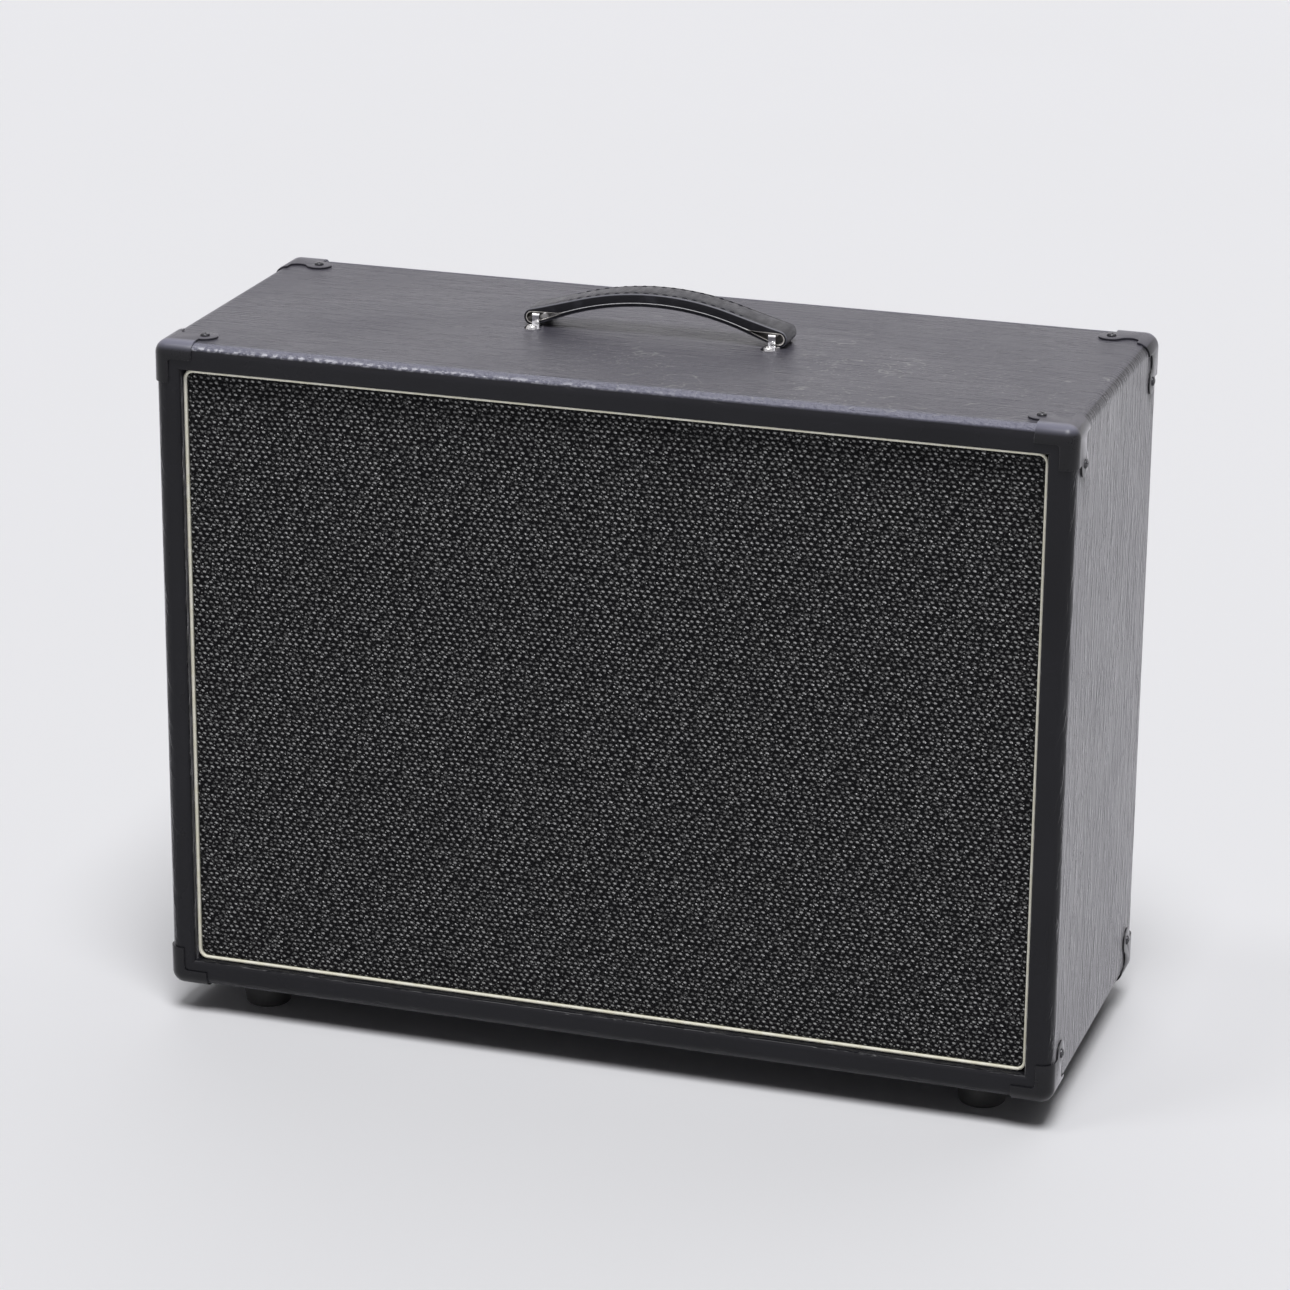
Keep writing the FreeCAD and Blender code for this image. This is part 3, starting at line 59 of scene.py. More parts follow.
CABINET_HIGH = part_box("vinyl_covering")[1]
CABINET_TOP = CABINET_HIGH.z
PIPING_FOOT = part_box("grille_piping")[0].z
STRAP_LOW, STRAP_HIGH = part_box("handle_strap")
STRAP_X = (STRAP_LOW.x + STRAP_HIGH.x) / 2
STRAP_Y = (STRAP_LOW.y + STRAP_HIGH.y) / 2
STRAP_HALF = (STRAP_HIGH.y - STRAP_LOW.y) / 2


# Materials

class Finish:
    """A material with its node tree, and short calls for the nodes that the finishes share."""

    def __init__(self, name, constants=None):
        self.material = bpy.data.materials.new(name)
        self.material.use_nodes = True
        self.tree = self.material.node_tree
        self.shader = self.tree.nodes["Principled BSDF"]
        for socket, setting in (constants or {}).items():
            self.shader.inputs[socket].default_value = setting
        self.place = self.node("TexCoord").outputs["Object"]

    def node(self, kind, inputs=None, **settings):
        """A node whose inputs are linked to sockets or set to values."""
        made = self.tree.nodes.new("ShaderNode" + kind)
        for key, setting in settings.items():
            setattr(made, key, setting)
        for key, source in (inputs or {}).items():
            socket = made.inputs[key]
            if isinstance(source, bpy.types.NodeSocket):
                self.tree.links.new(source, socket)
            elif socket.type == "RGBA":
                socket.default_value = (*source, 1)
            else:
                socket.default_value = source
        return made

    def axes(self):
        return self.node("SeparateXYZ", {0: self.place}).outputs

    def stretched(self, scale, place=None):
        """The place, scaled by its own factor along each axis."""
        inputs = {"Vector": place or self.place, "Scale": scale}
        return self.node("Mapping", inputs).outputs[0]

    def noise(self, scale, detail, place=None):
        inputs = {"Vector": place or self.place, "Scale": scale, "Detail": detail}
        return self.node("TexNoise", inputs).outputs[0]

    def grain(self, scale, detail):
        """A noise that is as fine along each axis as its scale says."""
        return self.noise(1, detail, self.stretched(scale))

    def clouds(self):
        """The wide patches over which a finish is a little duller or glossier."""
        return self.noise(45, 3)

    def cells(self, scale):
        inputs = {"Vector": self.place, "Scale": scale}
        return self.node("TexVoronoi", inputs).outputs["Distance"]

    def math(self, operation, first, second=0.0):
        return self.node("Math", {0: first, 1: second}, operation=operation).outputs[0]

    def times(self, product, *factors):
        for factor in factors:
            product = self.math("MULTIPLY", product, factor)
        return product

    def away(self, source, middle):
        """How far the source is from a middle value, on either side."""
        return self.math("ABSOLUTE", self.math("SUBTRACT", source, middle))

    def reach(self, first, second):
        """The length of a way that goes by two steps at right angles."""
        offset = self.node("CombineXYZ", {0: first, 1: second}).outputs[0]
        return self.node("VectorMath", {0: offset}, operation="LENGTH").outputs["Value"]

    def between(self, source, low, high, start=0.0, end=1.0):
        """A smooth step from start to end while the source goes from low to high."""
        inputs = {0: source, 1: low, 2: high, 3: start, 4: end}
        return self.node("MapRange", inputs, interpolation_type="SMOOTHSTEP").outputs[0]

    def mix(self, share, first, second):
        """A colour between two, by a share."""
        return self.node("Mix", {0: share, 6: first, 7: second}, data_type="RGBA").outputs[2]

    def relief(self, *layers):
        """A normal from layers of heights, each with the depth that a height of one stands for."""
        normal = None
        for height, depth in layers:
            inputs = {"Height": height, "Distance": depth}
            if normal is not None:
                inputs["Normal"] = normal
            normal = self.node("Bump", inputs).outputs[0]
        return normal

    def done(self, colour, roughness, normal):
        for key, source in (("Base Color", colour), ("Roughness", roughness), ("Normal", normal)):
            self.tree.links.new(source, self.shader.inputs[key])
        return self.material


SHEEN = {
    "Specular IOR Level": 0.22,
    "Sheen Weight": 0.5,
    "Sheen Roughness": 0.3,
    "Sheen Tint": (0.95, 0.93, 1, 1),
}
MOULDED = {**SHEEN, "Specular IOR Level": 0.27}
CLOTH = {"Specular IOR Level": 0.05}
DULL = {"Specular IOR Level": 0.1}
METAL = {"Metallic": 1.0}


# Covering and corners: dust with a painted sheen veils the top, and a painted highlight lies along
# its front and back edges

# Dust on the top, lightened further as a painted sheen
DUST_AND_SHEEN = (0.43, 0.41, 0.53)
DUST_AND_SHEEN_SHARE = 0.125
# Colour of the painted highlight on the rounded top edges
RIM_HIGHLIGHT = (0.21, 0.21, 0.27)
# A painted highlight on a top edge fades in between two setbacks from the front or back, and
# between two heights off the top
RIM_HIGHLIGHT_SETBACK = (-12 * MM, -6 * MM)
VINYL_RIM_HIGHLIGHT = (-4.9 * MM, -2.6 * MM)
CORNER_RIM_HIGHLIGHT = (-5.8 * MM, 1.2 * MM)
VINYL_COLOURS = ((0.005, 0.005, 0.007), (0.014, 0.014, 0.018))
CORNER_COLOURS = ((0.004, 0.004, 0.005), (0.012, 0.012, 0.015))
# Colour of the painted glints on the creases of the top edges
CREASE_HIGHLIGHT = (0.72, 0.72, 0.79)
MARKED = (0.42, 0.42, 0.41)
# Where the painted highlight on the creases fades across the top and where wear changes across the
# top, in metres, and where the ledge under the grille ends
CREASE_HIGHLIGHT_FADE = (-0.2, 0.15)
WORN_X = (-0.12, 0.03)
WORN_Y = (0.0, 0.09)
LEDGE_SIDE = (-26 * MM, -23 * MM)
SLANT = 0.16


def top_share(f, z):
    """One on the top, none below its rounded edges."""
    return f.between(z, CABINET_TOP - 2 * MM, CABINET_TOP - 1 * MM)


def top_rim_highlight(f, y, z, low, high):
    """The share of the painted highlight on the top's rounded front and back edges, which fades in
    between two heights.
    """
    past_y = f.math("SUBTRACT", f.math("ABSOLUTE", y), CABINET_HIGH.y)
    return f.times(
        f.between(past_y, *RIM_HIGHLIGHT_SETBACK),
        f.between(z, CABINET_TOP + low, CABINET_TOP + high),
    )


def ledge_share(f, x, z):
    """One on the smooth ledge under the grille, in which the piping is mirrored."""
    past_x = f.math("SUBTRACT", f.math("ABSOLUTE", x), CABINET_HIGH.x)
    return f.times(
        f.between(z, PIPING_FOOT - 3.5 * MM, PIPING_FOOT - 1.5 * MM),
        f.between(z, PIPING_FOOT, PIPING_FOOT + 0.5 * MM, 1, 0),
        f.between(past_x, *LEDGE_SIDE, 1, 0),
    )


def worn_marks(f, x, y, on_top):
    """Scratches and specks of dust on the top, most of them to the right and in front."""
    worn = f.times(f.between(x, *WORN_X, 0.3, 1), f.between(y, *WORN_Y, 1, 0.3))
    worn = f.times(on_top, worn)
    scuffed = f.times(worn, f.between(f.noise(36, 2), 0.53, 0.62))
    wander = f.away(f.grain((17, 30, 17), 3), 0.5)
    scratches = f.times(f.between(wander, 0.0025, 0.008, 0.42, 0), scuffed)
    dusty = f.times(worn, f.between(f.noise(12, 1), 0.42, 0.62))
    specks = f.times(f.between(f.noise(380, 1), 0.64, 0.72, 0, 0.55), dusty)
    return f.math("MAXIMUM", scratches, specks)


def vinyl():
    """Black covering: a grain that runs round the box, creased top edges, scuffs and dust, with a
    painted highlight and painted glints along the top edges and a painted sheen on top.
    """
    f = Finish("vinyl", SHEEN)
    x, y, z = f.axes()
    on_top = top_share(f, z)
    ledge = ledge_share(f, x, z)
    # rim: the share of the painted highlight along the rounded top edges
    rim = top_rim_highlight(f, y, z, *VINYL_RIM_HIGHLIGHT)
    streaks = f.grain((13, 300, 13), 5)
    fine = f.grain((110, 1200, 110), 3)
    folds = f.grain((230, 330, 330), 3)
    swells = f.noise(9, 2)
    wrinkles = f.between(f.grain((34, 230, 34), 4), 0.52, 0.66)
    turned = f.node("Mapping", {"Vector": f.place, "Rotation": (SLANT, 0, 0)}).outputs[0]
    slanted = f.between(f.noise(1, 4, f.stretched((30, 260, 30), turned)), 0.54, 0.62)
    # Painted glints on the creases of the top edges, fading towards the right
    crease_highlight = f.times(
        rim,
        f.between(z, CABINET_TOP - 3 * MM, CABINET_TOP - 1 * MM, 1, 0),
        f.between(folds, 0.45, 0.6),
        f.between(x, *CREASE_HIGHLIGHT_FADE, 1, 0.1),
    )
    colour = f.mix(streaks, *VINYL_COLOURS)
    # Dust on the top, lightened further as a painted sheen
    colour = f.mix(f.times(on_top, DUST_AND_SHEEN_SHARE), colour, DUST_AND_SHEEN)
    # Painted highlight along the rounded top edges
    colour = f.mix(rim, colour, RIM_HIGHLIGHT)
    # Painted glints on the creases
    colour = f.mix(crease_highlight, colour, CREASE_HIGHLIGHT)
    colour = f.mix(worn_marks(f, x, y, on_top), colour, MARKED)
    roughness = f.between(f.math("ADD", streaks, swells), 0.6, 1.4, 0.24, 0.38)
    roughness = f.math("SUBTRACT", roughness, f.times(ledge, 0.24))
    plain = f.math("SUBTRACT", 1, ledge)
    settled = f.between(on_top, 0, 1, 1, 0.55)
    normal = f.relief(
        (swells, 1.2 * MM),
        (f.times(streaks, plain), 0.32 * MM),
        (f.times(wrinkles, settled), 0.26 * MM),
        (f.times(slanted, settled), 0.24 * MM),
        (f.times(fine, plain), 0.05 * MM),
        (f.times(rim, folds), 2.2 * MM),
    )
    return f.done(colour, roughness, normal)


def moulding():
    """Black corner plastic, faintly grained, with the covering's dust and painted sheen on top and
    its painted highlight along the top edges.
    """
    f = Finish("corner_plastic", MOULDED)
    _, y, z = f.axes()
    grain = f.noise(850, 3)
    colour = f.mix(grain, *CORNER_COLOURS)
    # Dust on the top, lightened further as a painted sheen
    colour = f.mix(f.times(top_share(f, z), DUST_AND_SHEEN_SHARE), colour, DUST_AND_SHEEN)
    # Painted highlight along the rounded top edges
    colour = f.mix(top_rim_highlight(f, y, z, *CORNER_RIM_HIGHLIGHT), colour, RIM_HIGHLIGHT)
    roughness = f.between(f.math("ADD", grain, f.clouds()), 0.7, 1.3, 0.27, 0.37)
    return f.done(colour, roughness, f.relief((grain, 0.03 * MM)))


# Grille cloth: rows of flecks

FLECK_PITCH = 5.3 * MM
FLECK_ROW = 3.82 * MM
FLECK_SLANT = 0.07
FLECK_STRAY = 0.34
CLOTH_COLOURS = ((0.001, 0.001, 0.002), (0.015, 0.015, 0.016))
FLECK_COLOUR = (0.8, 0.8, 0.8)


def flecks(f, shift, rise, wide, high):
    """Staggered rows of oval flecks: how far a point is inside one, and that fleck's chance.

    Shift and rise move the rows, and wide and high are a fleck's half sizes, all as shares of
    the pitch and the row.
    """
    x, _, z = f.axes()
    up = f.math("ADD", f.math("DIVIDE", z, FLECK_ROW), rise)
    row = f.math("FLOOR", up)
    stagger = f.times(f.math("FLOORED_MODULO", row, 2), 0.5)
    upright = f.math("SUBTRACT", x, f.times(z, FLECK_SLANT))
    across = f.math("ADD", f.math("DIVIDE", upright, FLECK_PITCH), stagger)
    across = f.math("ADD", across, shift)
    column = f.math("FLOOR", across)
    cell = f.node("CombineXYZ", {0: column, 1: row, 2: shift}).outputs[0]
    chance = f.node("TexWhiteNoise", {"Vector": cell}).outputs["Value"]
    stray = f.times(f.math("SUBTRACT", chance, 0.5), FLECK_STRAY)
    side = f.math("ADD", f.math("SUBTRACT", f.math("FRACT", across), 0.5), stray)
    over = f.math("SUBTRACT", f.math("FRACT", up), 0.5)
    over = f.math("ADD", over, f.times(stray, -0.7))
    over = f.math("ADD", over, f.times(side, 0.25))
    reach = f.reach(f.math("DIVIDE", side, wide), f.math("DIVIDE", over, high))
    return f.between(reach, 0.35, 1, 1, 0), chance


def weave():
    """Black grille cloth: rows of pale flecks, small ones between them, and a few bright threads
    whose glints are painted into the colour.
    """
    f = Finish("grille", CLOTH)
    large, large_chance = flecks(f, 0.0, 0.0, 0.34, 0.29)
    small, small_chance = flecks(f, 0.3, 0.4, 0.13, 0.15)
    bright, bright_chance = flecks(f, 0.8, 0.1, 0.13, 0.16)
    threads = f.grain((900, 900, 2200), 2)
    grit = f.between(f.grain((700, 700, 950), 1), 0.55, 0.78, 0, 0.17)
    pale = f.times(large, f.between(large_chance, 0, 1, 0.24, 0.6))
    faint = f.times(small, f.between(small_chance, 0.5, 1, 0, 0.7))
    # Painted glints of the bright threads
    painted_glint = f.times(bright, f.between(bright_chance, 0.86, 0.96, 0, 1.5))
    ground = f.math("MAXIMUM", pale, grit)
    share = f.math("MAXIMUM", ground, f.math("MAXIMUM", faint, painted_glint))
    share = f.times(share, f.between(threads, 0.3, 0.65, 0.6, 1.1))
    colour = f.mix(share, f.mix(threads, *CLOTH_COLOURS), FLECK_COLOUR)
    roughness = f.between(share, 0, 1, 0.8, 0.5)
    normal = f.relief((f.math("MAXIMUM", large, small), 0.35 * MM), (threads, 0.12 * MM))
    return f.done(colour, roughness, normal)


# Other finishes

LEATHER_COLOURS = ((0.014, 0.014, 0.018), (0.036, 0.036, 0.044))
# Colour of the painted highlight on the strap's rounded edges
LEATHER_EDGE_HIGHLIGHT = (0.2, 0.2, 0.23)
DULL_NICKEL = ((0.05, 0.046, 0.04), (0.14, 0.13, 0.115))
BRIGHT_NICKEL = ((0.7, 0.68, 0.62), (0.92, 0.9, 0.84))
TIMBER_COLOURS = ((0.36, 0.24, 0.13), (0.66, 0.5, 0.32))
TIMBER_RINGS = (0.4, 0.25, 0.13)
PAPER_COLOURS = ((0.012, 0.012, 0.012), (0.05, 0.048, 0.046))
PAPER_RINGS = 520


def leather():
    """Black strap leather: pores, soft wrinkles, a little wear, and a painted highlight along its
    rounded edges.
    """
    f = Finish("strap", SHEEN)
    pores = f.cells(850)
    wrinkles = f.grain((260, 90, 90), 4)
    wear = f.between(f.noise(70, 4), 0.5, 0.75)
    aside = f.away(f.axes()[1], STRAP_Y)
    # Painted highlight along the strap's rounded edges
    edge = f.times(
        f.between(aside, STRAP_HALF - 1.3 * MM, STRAP_HALF - 0.7 * MM),
        f.between(aside, STRAP_HALF - 0.2 * MM, STRAP_HALF - 0.05 * MM, 1, 0),
    )
    colour = f.mix(edge, f.mix(wear, *LEATHER_COLOURS), LEATHER_EDGE_HIGHLIGHT)
    roughness = f.between(wrinkles, 0.3, 0.7, 0.28, 0.44)
    return f.done(colour, roughness, f.relief((wrinkles, 0.2 * MM), (pores, 0.1 * MM)))


def nickel():
    """Plated spring steel, bright on the cut sides and dull inside the loops."""
    f = Finish("spring_steel", METAL)
    aside = f.away(f.axes()[1], STRAP_Y)
    cut = f.between(aside, STRAP_HALF - 0.5 * MM, STRAP_HALF - 0.2 * MM)
    spread = f.grain((60, 900, 60), 3)
    colour = f.mix(cut, f.mix(spread, *DULL_NICKEL), f.mix(spread, *BRIGHT_NICKEL))
    roughness = f.between(spread, 0.3, 0.7, 0.3, 0.45)
    return f.done(colour, roughness, f.relief((spread, 0.03 * MM)))


def timber(name, scale):
    """Pale plywood with its grain along the axis of the smallest scale."""
    f = Finish(name)
    place = f.stretched(scale)
    grain = f.noise(1, 6, place)
    rings = f.math("FRACT", f.times(f.noise(0.35, 2, place), 9))
    rings = f.between(rings, 0.1, 0.9)
    colour = f.mix(f.times(rings, 0.35), f.mix(grain, *TIMBER_COLOURS), TIMBER_RINGS)
    roughness = f.between(grain, 0.3, 0.7, 0.5, 0.7)
    return f.done(colour, roughness, f.relief((grain, 0.2 * MM)))


def paper():
    """Black pulp with pressed rings about each loudspeaker's axis."""
    f = Finish("paper")
    x, _, z = f.axes()
    low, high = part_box("right_speaker_cone")
    middle = (low + high) / 2
    across = f.math("SUBTRACT", f.math("ABSOLUTE", x), middle.x)
    reach = f.reach(across, f.math("SUBTRACT", z, middle.z))
    rings = f.math("SINE", f.times(reach, PAPER_RINGS))
    fibres = f.noise(700, 5)
    colour = f.mix(fibres, *PAPER_COLOURS)
    roughness = f.between(fibres, 0.3, 0.7, 0.7, 0.9)
    return f.done(colour, roughness, f.relief((rings, 0.25 * MM), (fibres, 0.15 * MM)))


def mottled(name, dark, light, scale, detail, gloss, depth, constants=None):
    """A finish whose colour, gloss and relief follow one grain."""
    f = Finish(name, constants)
    spread = f.grain(scale, detail)
    colour = f.mix(f.between(spread, 0.3, 0.7), dark, light)
    roughness = f.between(f.math("ADD", spread, f.clouds()), 0.7, 1.3, *gloss)
    return f.done(colour, roughness, f.relief((spread, depth * MM)))


def even(scale):
    return (scale, scale, scale)


# Dark and light colour, scale and detail of the grain, least and most roughness, depth of the
# relief in millimetres, and the shader's constants where it has any
MOTTLED = {
    # The seam cord's pale colour also paints the seam's glossy highlight
    "seam": ((0.6, 0.6, 0.62), (0.82, 0.82, 0.84), (700, 900, 900), 3, (0.25, 0.4), 0.05),
    "thread": (
        (0.006, 0.006, 0.009), (0.03, 0.03, 0.04), (2600, 700, 700), 2, (0.7, 0.9), 0.1, DULL),
    "piping": ((0.88, 0.85, 0.68), (0.96, 0.94, 0.82), even(120), 4, (0.2, 0.34), 0.03),
    "rubber": ((0.007, 0.007, 0.007), (0.02, 0.02, 0.02), even(300), 4, (0.5, 0.75), 0.1),
    "rear_board": ((0.01, 0.01, 0.012), (0.03, 0.03, 0.033), even(420), 2, (0.42, 0.6), 0.25),
    "screw_dark": (
        (0.03, 0.03, 0.034), (0.09, 0.09, 0.095), even(900), 2, (0.1, 0.2), 0.02, METAL),
    "screw_bright": (
        (0.55, 0.55, 0.54), (0.75, 0.75, 0.74), even(700), 2, (0.12, 0.26), 0.02, METAL),
    "chrome": ((0.6, 0.6, 0.61), (0.84, 0.84, 0.85), even(170), 3, (0.05, 0.15), 0.02, METAL),
    "socket_plastic": (
        (0.01, 0.01, 0.01), (0.024, 0.024, 0.024), even(600), 3, (0.25, 0.4), 0.05),
    "plate_black": (
        (0.008, 0.008, 0.009), (0.022, 0.022, 0.024), even(1200), 2, (0.36, 0.5), 0.08),
    "basket": ((0.05, 0.05, 0.055), (0.1, 0.1, 0.11), even(500), 3, (0.35, 0.5), 0.08),
    "cork": ((0.1, 0.06, 0.03), (0.4, 0.27, 0.15), even(600), 4, (0.7, 0.9), 0.3),
    "surround": ((0.008, 0.008, 0.008), (0.03, 0.028, 0.026), even(1400), 2, (0.4, 0.6), 0.12),
    "doped_cloth": ((0.2, 0.12, 0.04), (0.45, 0.3, 0.13), even(1400), 2, (0.5, 0.7), 0.12),
    "copper": ((0.5, 0.24, 0.11), (0.8, 0.45, 0.26), (40, 3300, 40), 1, (0.2, 0.34), 0.1, METAL),
    "motor_steel": (
        (0.32, 0.32, 0.33), (0.54, 0.54, 0.54), even(450), 4, (0.24, 0.42), 0.03, METAL),
    "ferrite": ((0.03, 0.03, 0.033), (0.085, 0.085, 0.09), even(900), 4, (0.55, 0.75), 0.1),
}
FINISHES = {
    "vinyl": vinyl(),
    "corner_plastic": moulding(),
    "grille": weave(),
    "strap": leather(),
    "spring_steel": nickel(),
    "timber": timber("timber", (5, 90, 90)),
    "timber_upright": timber("timber_upright", (90, 90, 5)),
    "paper": paper(),
    **{name: mottled(name, *row) for name, row in MOTTLED.items()},
}
UPRIGHT_BOARDS = ("left_side_panel", "right_side_panel")


def dress_solids():
    """Every carried-over solid takes the finish of its slot."""
    for row in frame["record"]["subparts"]:
        finish = row["material_slot"]
        if row["node"] in UPRIGHT_BOARDS:
            finish = "timber_upright"
        elif row["node"].endswith("surround"):
            finish = "surround"
        solid = frame["nodes"][row["node"]]
        if not solid.material_slots:
            solid.data.materials.append(None)
        for slot in solid.material_slots:
            slot.material = FINISHES[finish]


# Modelled pieces

def add_piece(name, vertices, faces, finish, body):
    mesh = bpy.data.meshes.new(name)
    mesh.from_pydata(vertices, [], faces)
    mesh.materials.append(FINISHES[finish])
    for face in mesh.polygons:
        face.use_smooth = True
    piece = bpy.data.objects.new(name, mesh)
    SCENE.collection.objects.link(piece)
    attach(piece, body)
    return piece


def sharpen(piece, limit):
    """Turns all faces outward, and makes edges that bend by more degrees than the limit sharp."""
    shape = bmesh.new()
    shape.from_mesh(piece.data)
    bmesh.ops.recalc_face_normals(shape, faces=shape.faces)
    for edge in shape.edges:
        edge.smooth = edge.calc_face_angle(0) < math.radians(limit)
    shape.to_mesh(piece.data)
    shape.free()


def strip_faces(rings, count, closed_rings=False):
    """Quads between neighbouring rings of as many points each."""
    faces = []
    for ring in range(rings if closed_rings else rings - 1):
        near = ring * count
        far = (ring + 1) % rings * count
        for i in range(count):
            j = (i + 1) % count
            faces.append((near + i, near + j, far + j, far + i))
    return faces


def capped_faces(rings, count):
    """The same with a lid on the first ring and on the last."""
    last = rings * count - 1
    lids = [tuple(range(count)), tuple(last - i for i in range(count))]
    return strip_faces(rings, count) + lids


def gather(vertices, faces, points, shape_faces):
    """Adds one shape's points and faces to those of a piece."""
    first = len(vertices)
    vertices += [tuple(point) for point in points]
    faces += [tuple(first + i for i in face) for face in shape_faces]


# Grille cloth: one sheet, pulled over the front of its frame and round the edges

CLOTH_CORNER = 5.6 * MM
CLOTH_CORNER_LEAST = 0.05 * MM
CLOTH_ROUND = 1.2 * MM
CLOTH_SLACK = 0.15 * MM
CLOTH_RIPPLES = 14
# Rings of the sheet, in millimetres from its edge
CLOTH_INSETS = (3, 6, 12, 22, 36, 54, 76, 102, 132, 165, 200)
CLOTH_MIDDLE = 0.1 * MM
CLOTH_MERGE = 0.3 * MM
ROUND_STEPS = 4
CORNER_STEPS = 6
EDGE_STEPS = 24
CORNER_SIGNS = ((1, 1), (-1, 1), (-1, -1), (1, -1))


def rounded_ring(half_x, half_z, corner):
    """Points round a rectangle with rounded corners, as many on each ring."""

    def on_corner(number, angle):
        sign_x, sign_z = CORNER_SIGNS[number % 4]
        return (
            sign_x * (half_x - corner) + corner * math.cos(angle),
            sign_z * (half_z - corner) + corner * math.sin(angle),
        )

    points = []
    for number in range(4):
        start = number * QUARTER_TURN
        for step in range(CORNER_STEPS + 1):
            points.append(on_corner(number, start + step / CORNER_STEPS * QUARTER_TURN))
        last = points[-1]
        ahead = on_corner(number + 1, start + QUARTER_TURN)
        for step in range(1, EDGE_STEPS):
            share = step / EDGE_STEPS
            points.append(tuple(a + (b - a) * share for a, b in zip(last, ahead)))
    return points


def add_cloth():
    low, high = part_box("grille_cloth")
    middle = (low + high) / 2
    half_x = (high.x - low.x) / 2
    half_z = (high.z - low.z) / 2
    tucked = high.y - low.y
    levels = [(0, tucked), (0, tucked / 2), (0, CLOTH_ROUND)]
    for step in range(1, ROUND_STEPS + 1):
        angle = step / ROUND_STEPS * QUARTER_TURN
        levels.append((CLOTH_ROUND * (1 - math.cos(angle)), CLOTH_ROUND * (1 - math.sin(angle))))
    levels += [(inset * MM, 0) for inset in CLOTH_INSETS] + [(half_z - CLOTH_MIDDLE, 0)]
    vertices = []
    for inset, depth in levels:
        corner = max(CLOTH_CORNER - inset, CLOTH_CORNER_LEAST)
        for x, z in rounded_ring(half_x - inset, half_z - inset, corner):
            ripple = 0.0
            if inset > CLOTH_ROUND:
                wave = noise.noise((x * CLOTH_RIPPLES, 0, z * CLOTH_RIPPLES))
                ripple = CLOTH_SLACK * (1 + wave)
            vertices.append((middle.x + x, low.y + depth + ripple, middle.z + z))
    faces = strip_faces(len(levels), len(vertices) // len(levels))
    cloth = add_piece("grille_weave", vertices, faces, "grille", "cabinet")
    shape = bmesh.new()
    shape.from_mesh(cloth.data)
    bmesh.ops.remove_doubles(shape, verts=shape.verts, dist=CLOTH_MERGE)
    bmesh.ops.recalc_face_normals(shape, faces=shape.faces)
    shape.to_mesh(cloth.data)
    shape.free()
    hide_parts("grille_cloth")


# Strap handle: a leather band sewn round the spring steel core

ACROSS = Vector((0, 1, 0))
LOOP = 6.75 * MM
LOOP_TOLERANCE = 0.01 * MM
REACH = (STRAP_HIGH.x - STRAP_LOW.x) / 2 - LOOP
LOOP_UP = STRAP_LOW.z + LOOP
ARCH = 214.99 * MM
ARCH_UP = STRAP_HIGH.z - ARCH
STRAP_THICK = 11 * MM
LINING = 2.4 * MM
CORE = 1.3 * MM
CORE_LOOP = 4.75 * MM
TIP_STEPS = 17
ARCH_STEPS = 61
LINE_SHARES = (0.25, 0.5, 0.75)
STRAP_EDGE = 1.3 * MM
STRAP_EDGE_SHARE = 0.6
STRAP_EDGE_STEPS = 5
STRAP_CROWN = 0.5 * MM
STRAP_CROWN_SHARE = 0.12
STRAP_TUCK = 0.09 * MM
STRAP_SHARP_DEGREES = 60
GROOVE = 0.3 * MM
GROOVE_INNER = 1.1 * MM
GROOVE_OUTER = 0.9 * MM
GROOVED_DEPTH = 3 * MM
SEAM_UP = 3.4 * MM
SEAM_HALF = 0.15 * MM
SEAM_CORD = 0.3 * MM
SEAM_RADIUS = ARCH - STRAP_THICK + SEAM_UP
SEAM_STEPS = 61
CORD_SIDES = 8
EYE_RIM = 4.65 * MM
EYE_LENGTH = 24 * MM
EYE_STEPS = 40
STITCH_INSET = 2.9 * MM
STITCH_PITCH = 7.6 * MM
STITCH_LENGTH = 5.2 * MM
STITCH_RADIUS = 0.65 * MM
STITCH_RUN = 69 * MM
STITCH_DOWN = 0.52 * MM
STITCH_DIP = 0.8
# Places along a stitch, and its thickness there, as shares of its half length and radius
STITCH_ROWS = ((-1.0, 0.25), (-0.8, 0.7), (-0.3, 1.0), (0.3, 1.0), (0.8, 0.7), (1.0, 0.25))


def arc_points(centre, radius, start, end, count):
    points = []
    for step in range(count):
        angle = start + (end - start) * step / (count - 1)
        points.append(centre + radius * Vector((math.cos(angle), math.sin(angle))))
    return points


def strap_side(end_radius, top_radius, low_radius):
    """Points round the strap's side view: round ends and a wide arch, with tangents between."""
    arch = Vector((0, ARCH_UP))
    end = Vector((REACH, LOOP_UP))
    gap = end - arch
    lean = math.atan2(gap.y, gap.x)
    top_turn = lean + math.acos((top_radius - end_radius) / gap.length)
    low_turn = lean + math.acos((low_radius + end_radius) / gap.length)
    tip = arc_points(end, end_radius, low_turn - math.pi, top_turn, TIP_STEPS)
    crown = arc_points(arch, top_radius, top_turn, math.pi - top_turn, ARCH_STEPS)
    belly = arc_points(arch, low_radius, math.pi - low_turn, low_turn, ARCH_STEPS)
    far_tip = [Vector((-p.x, p.y)) for p in reversed(tip)]
    runs = (tip, crown, far_tip, belly)
    points = []
    for number, run in enumerate(runs):
        points += run
        ahead = runs[(number + 1) % len(runs)][0]
        points += [run[-1].lerp(ahead, share) for share in LINE_SHARES]
    return points


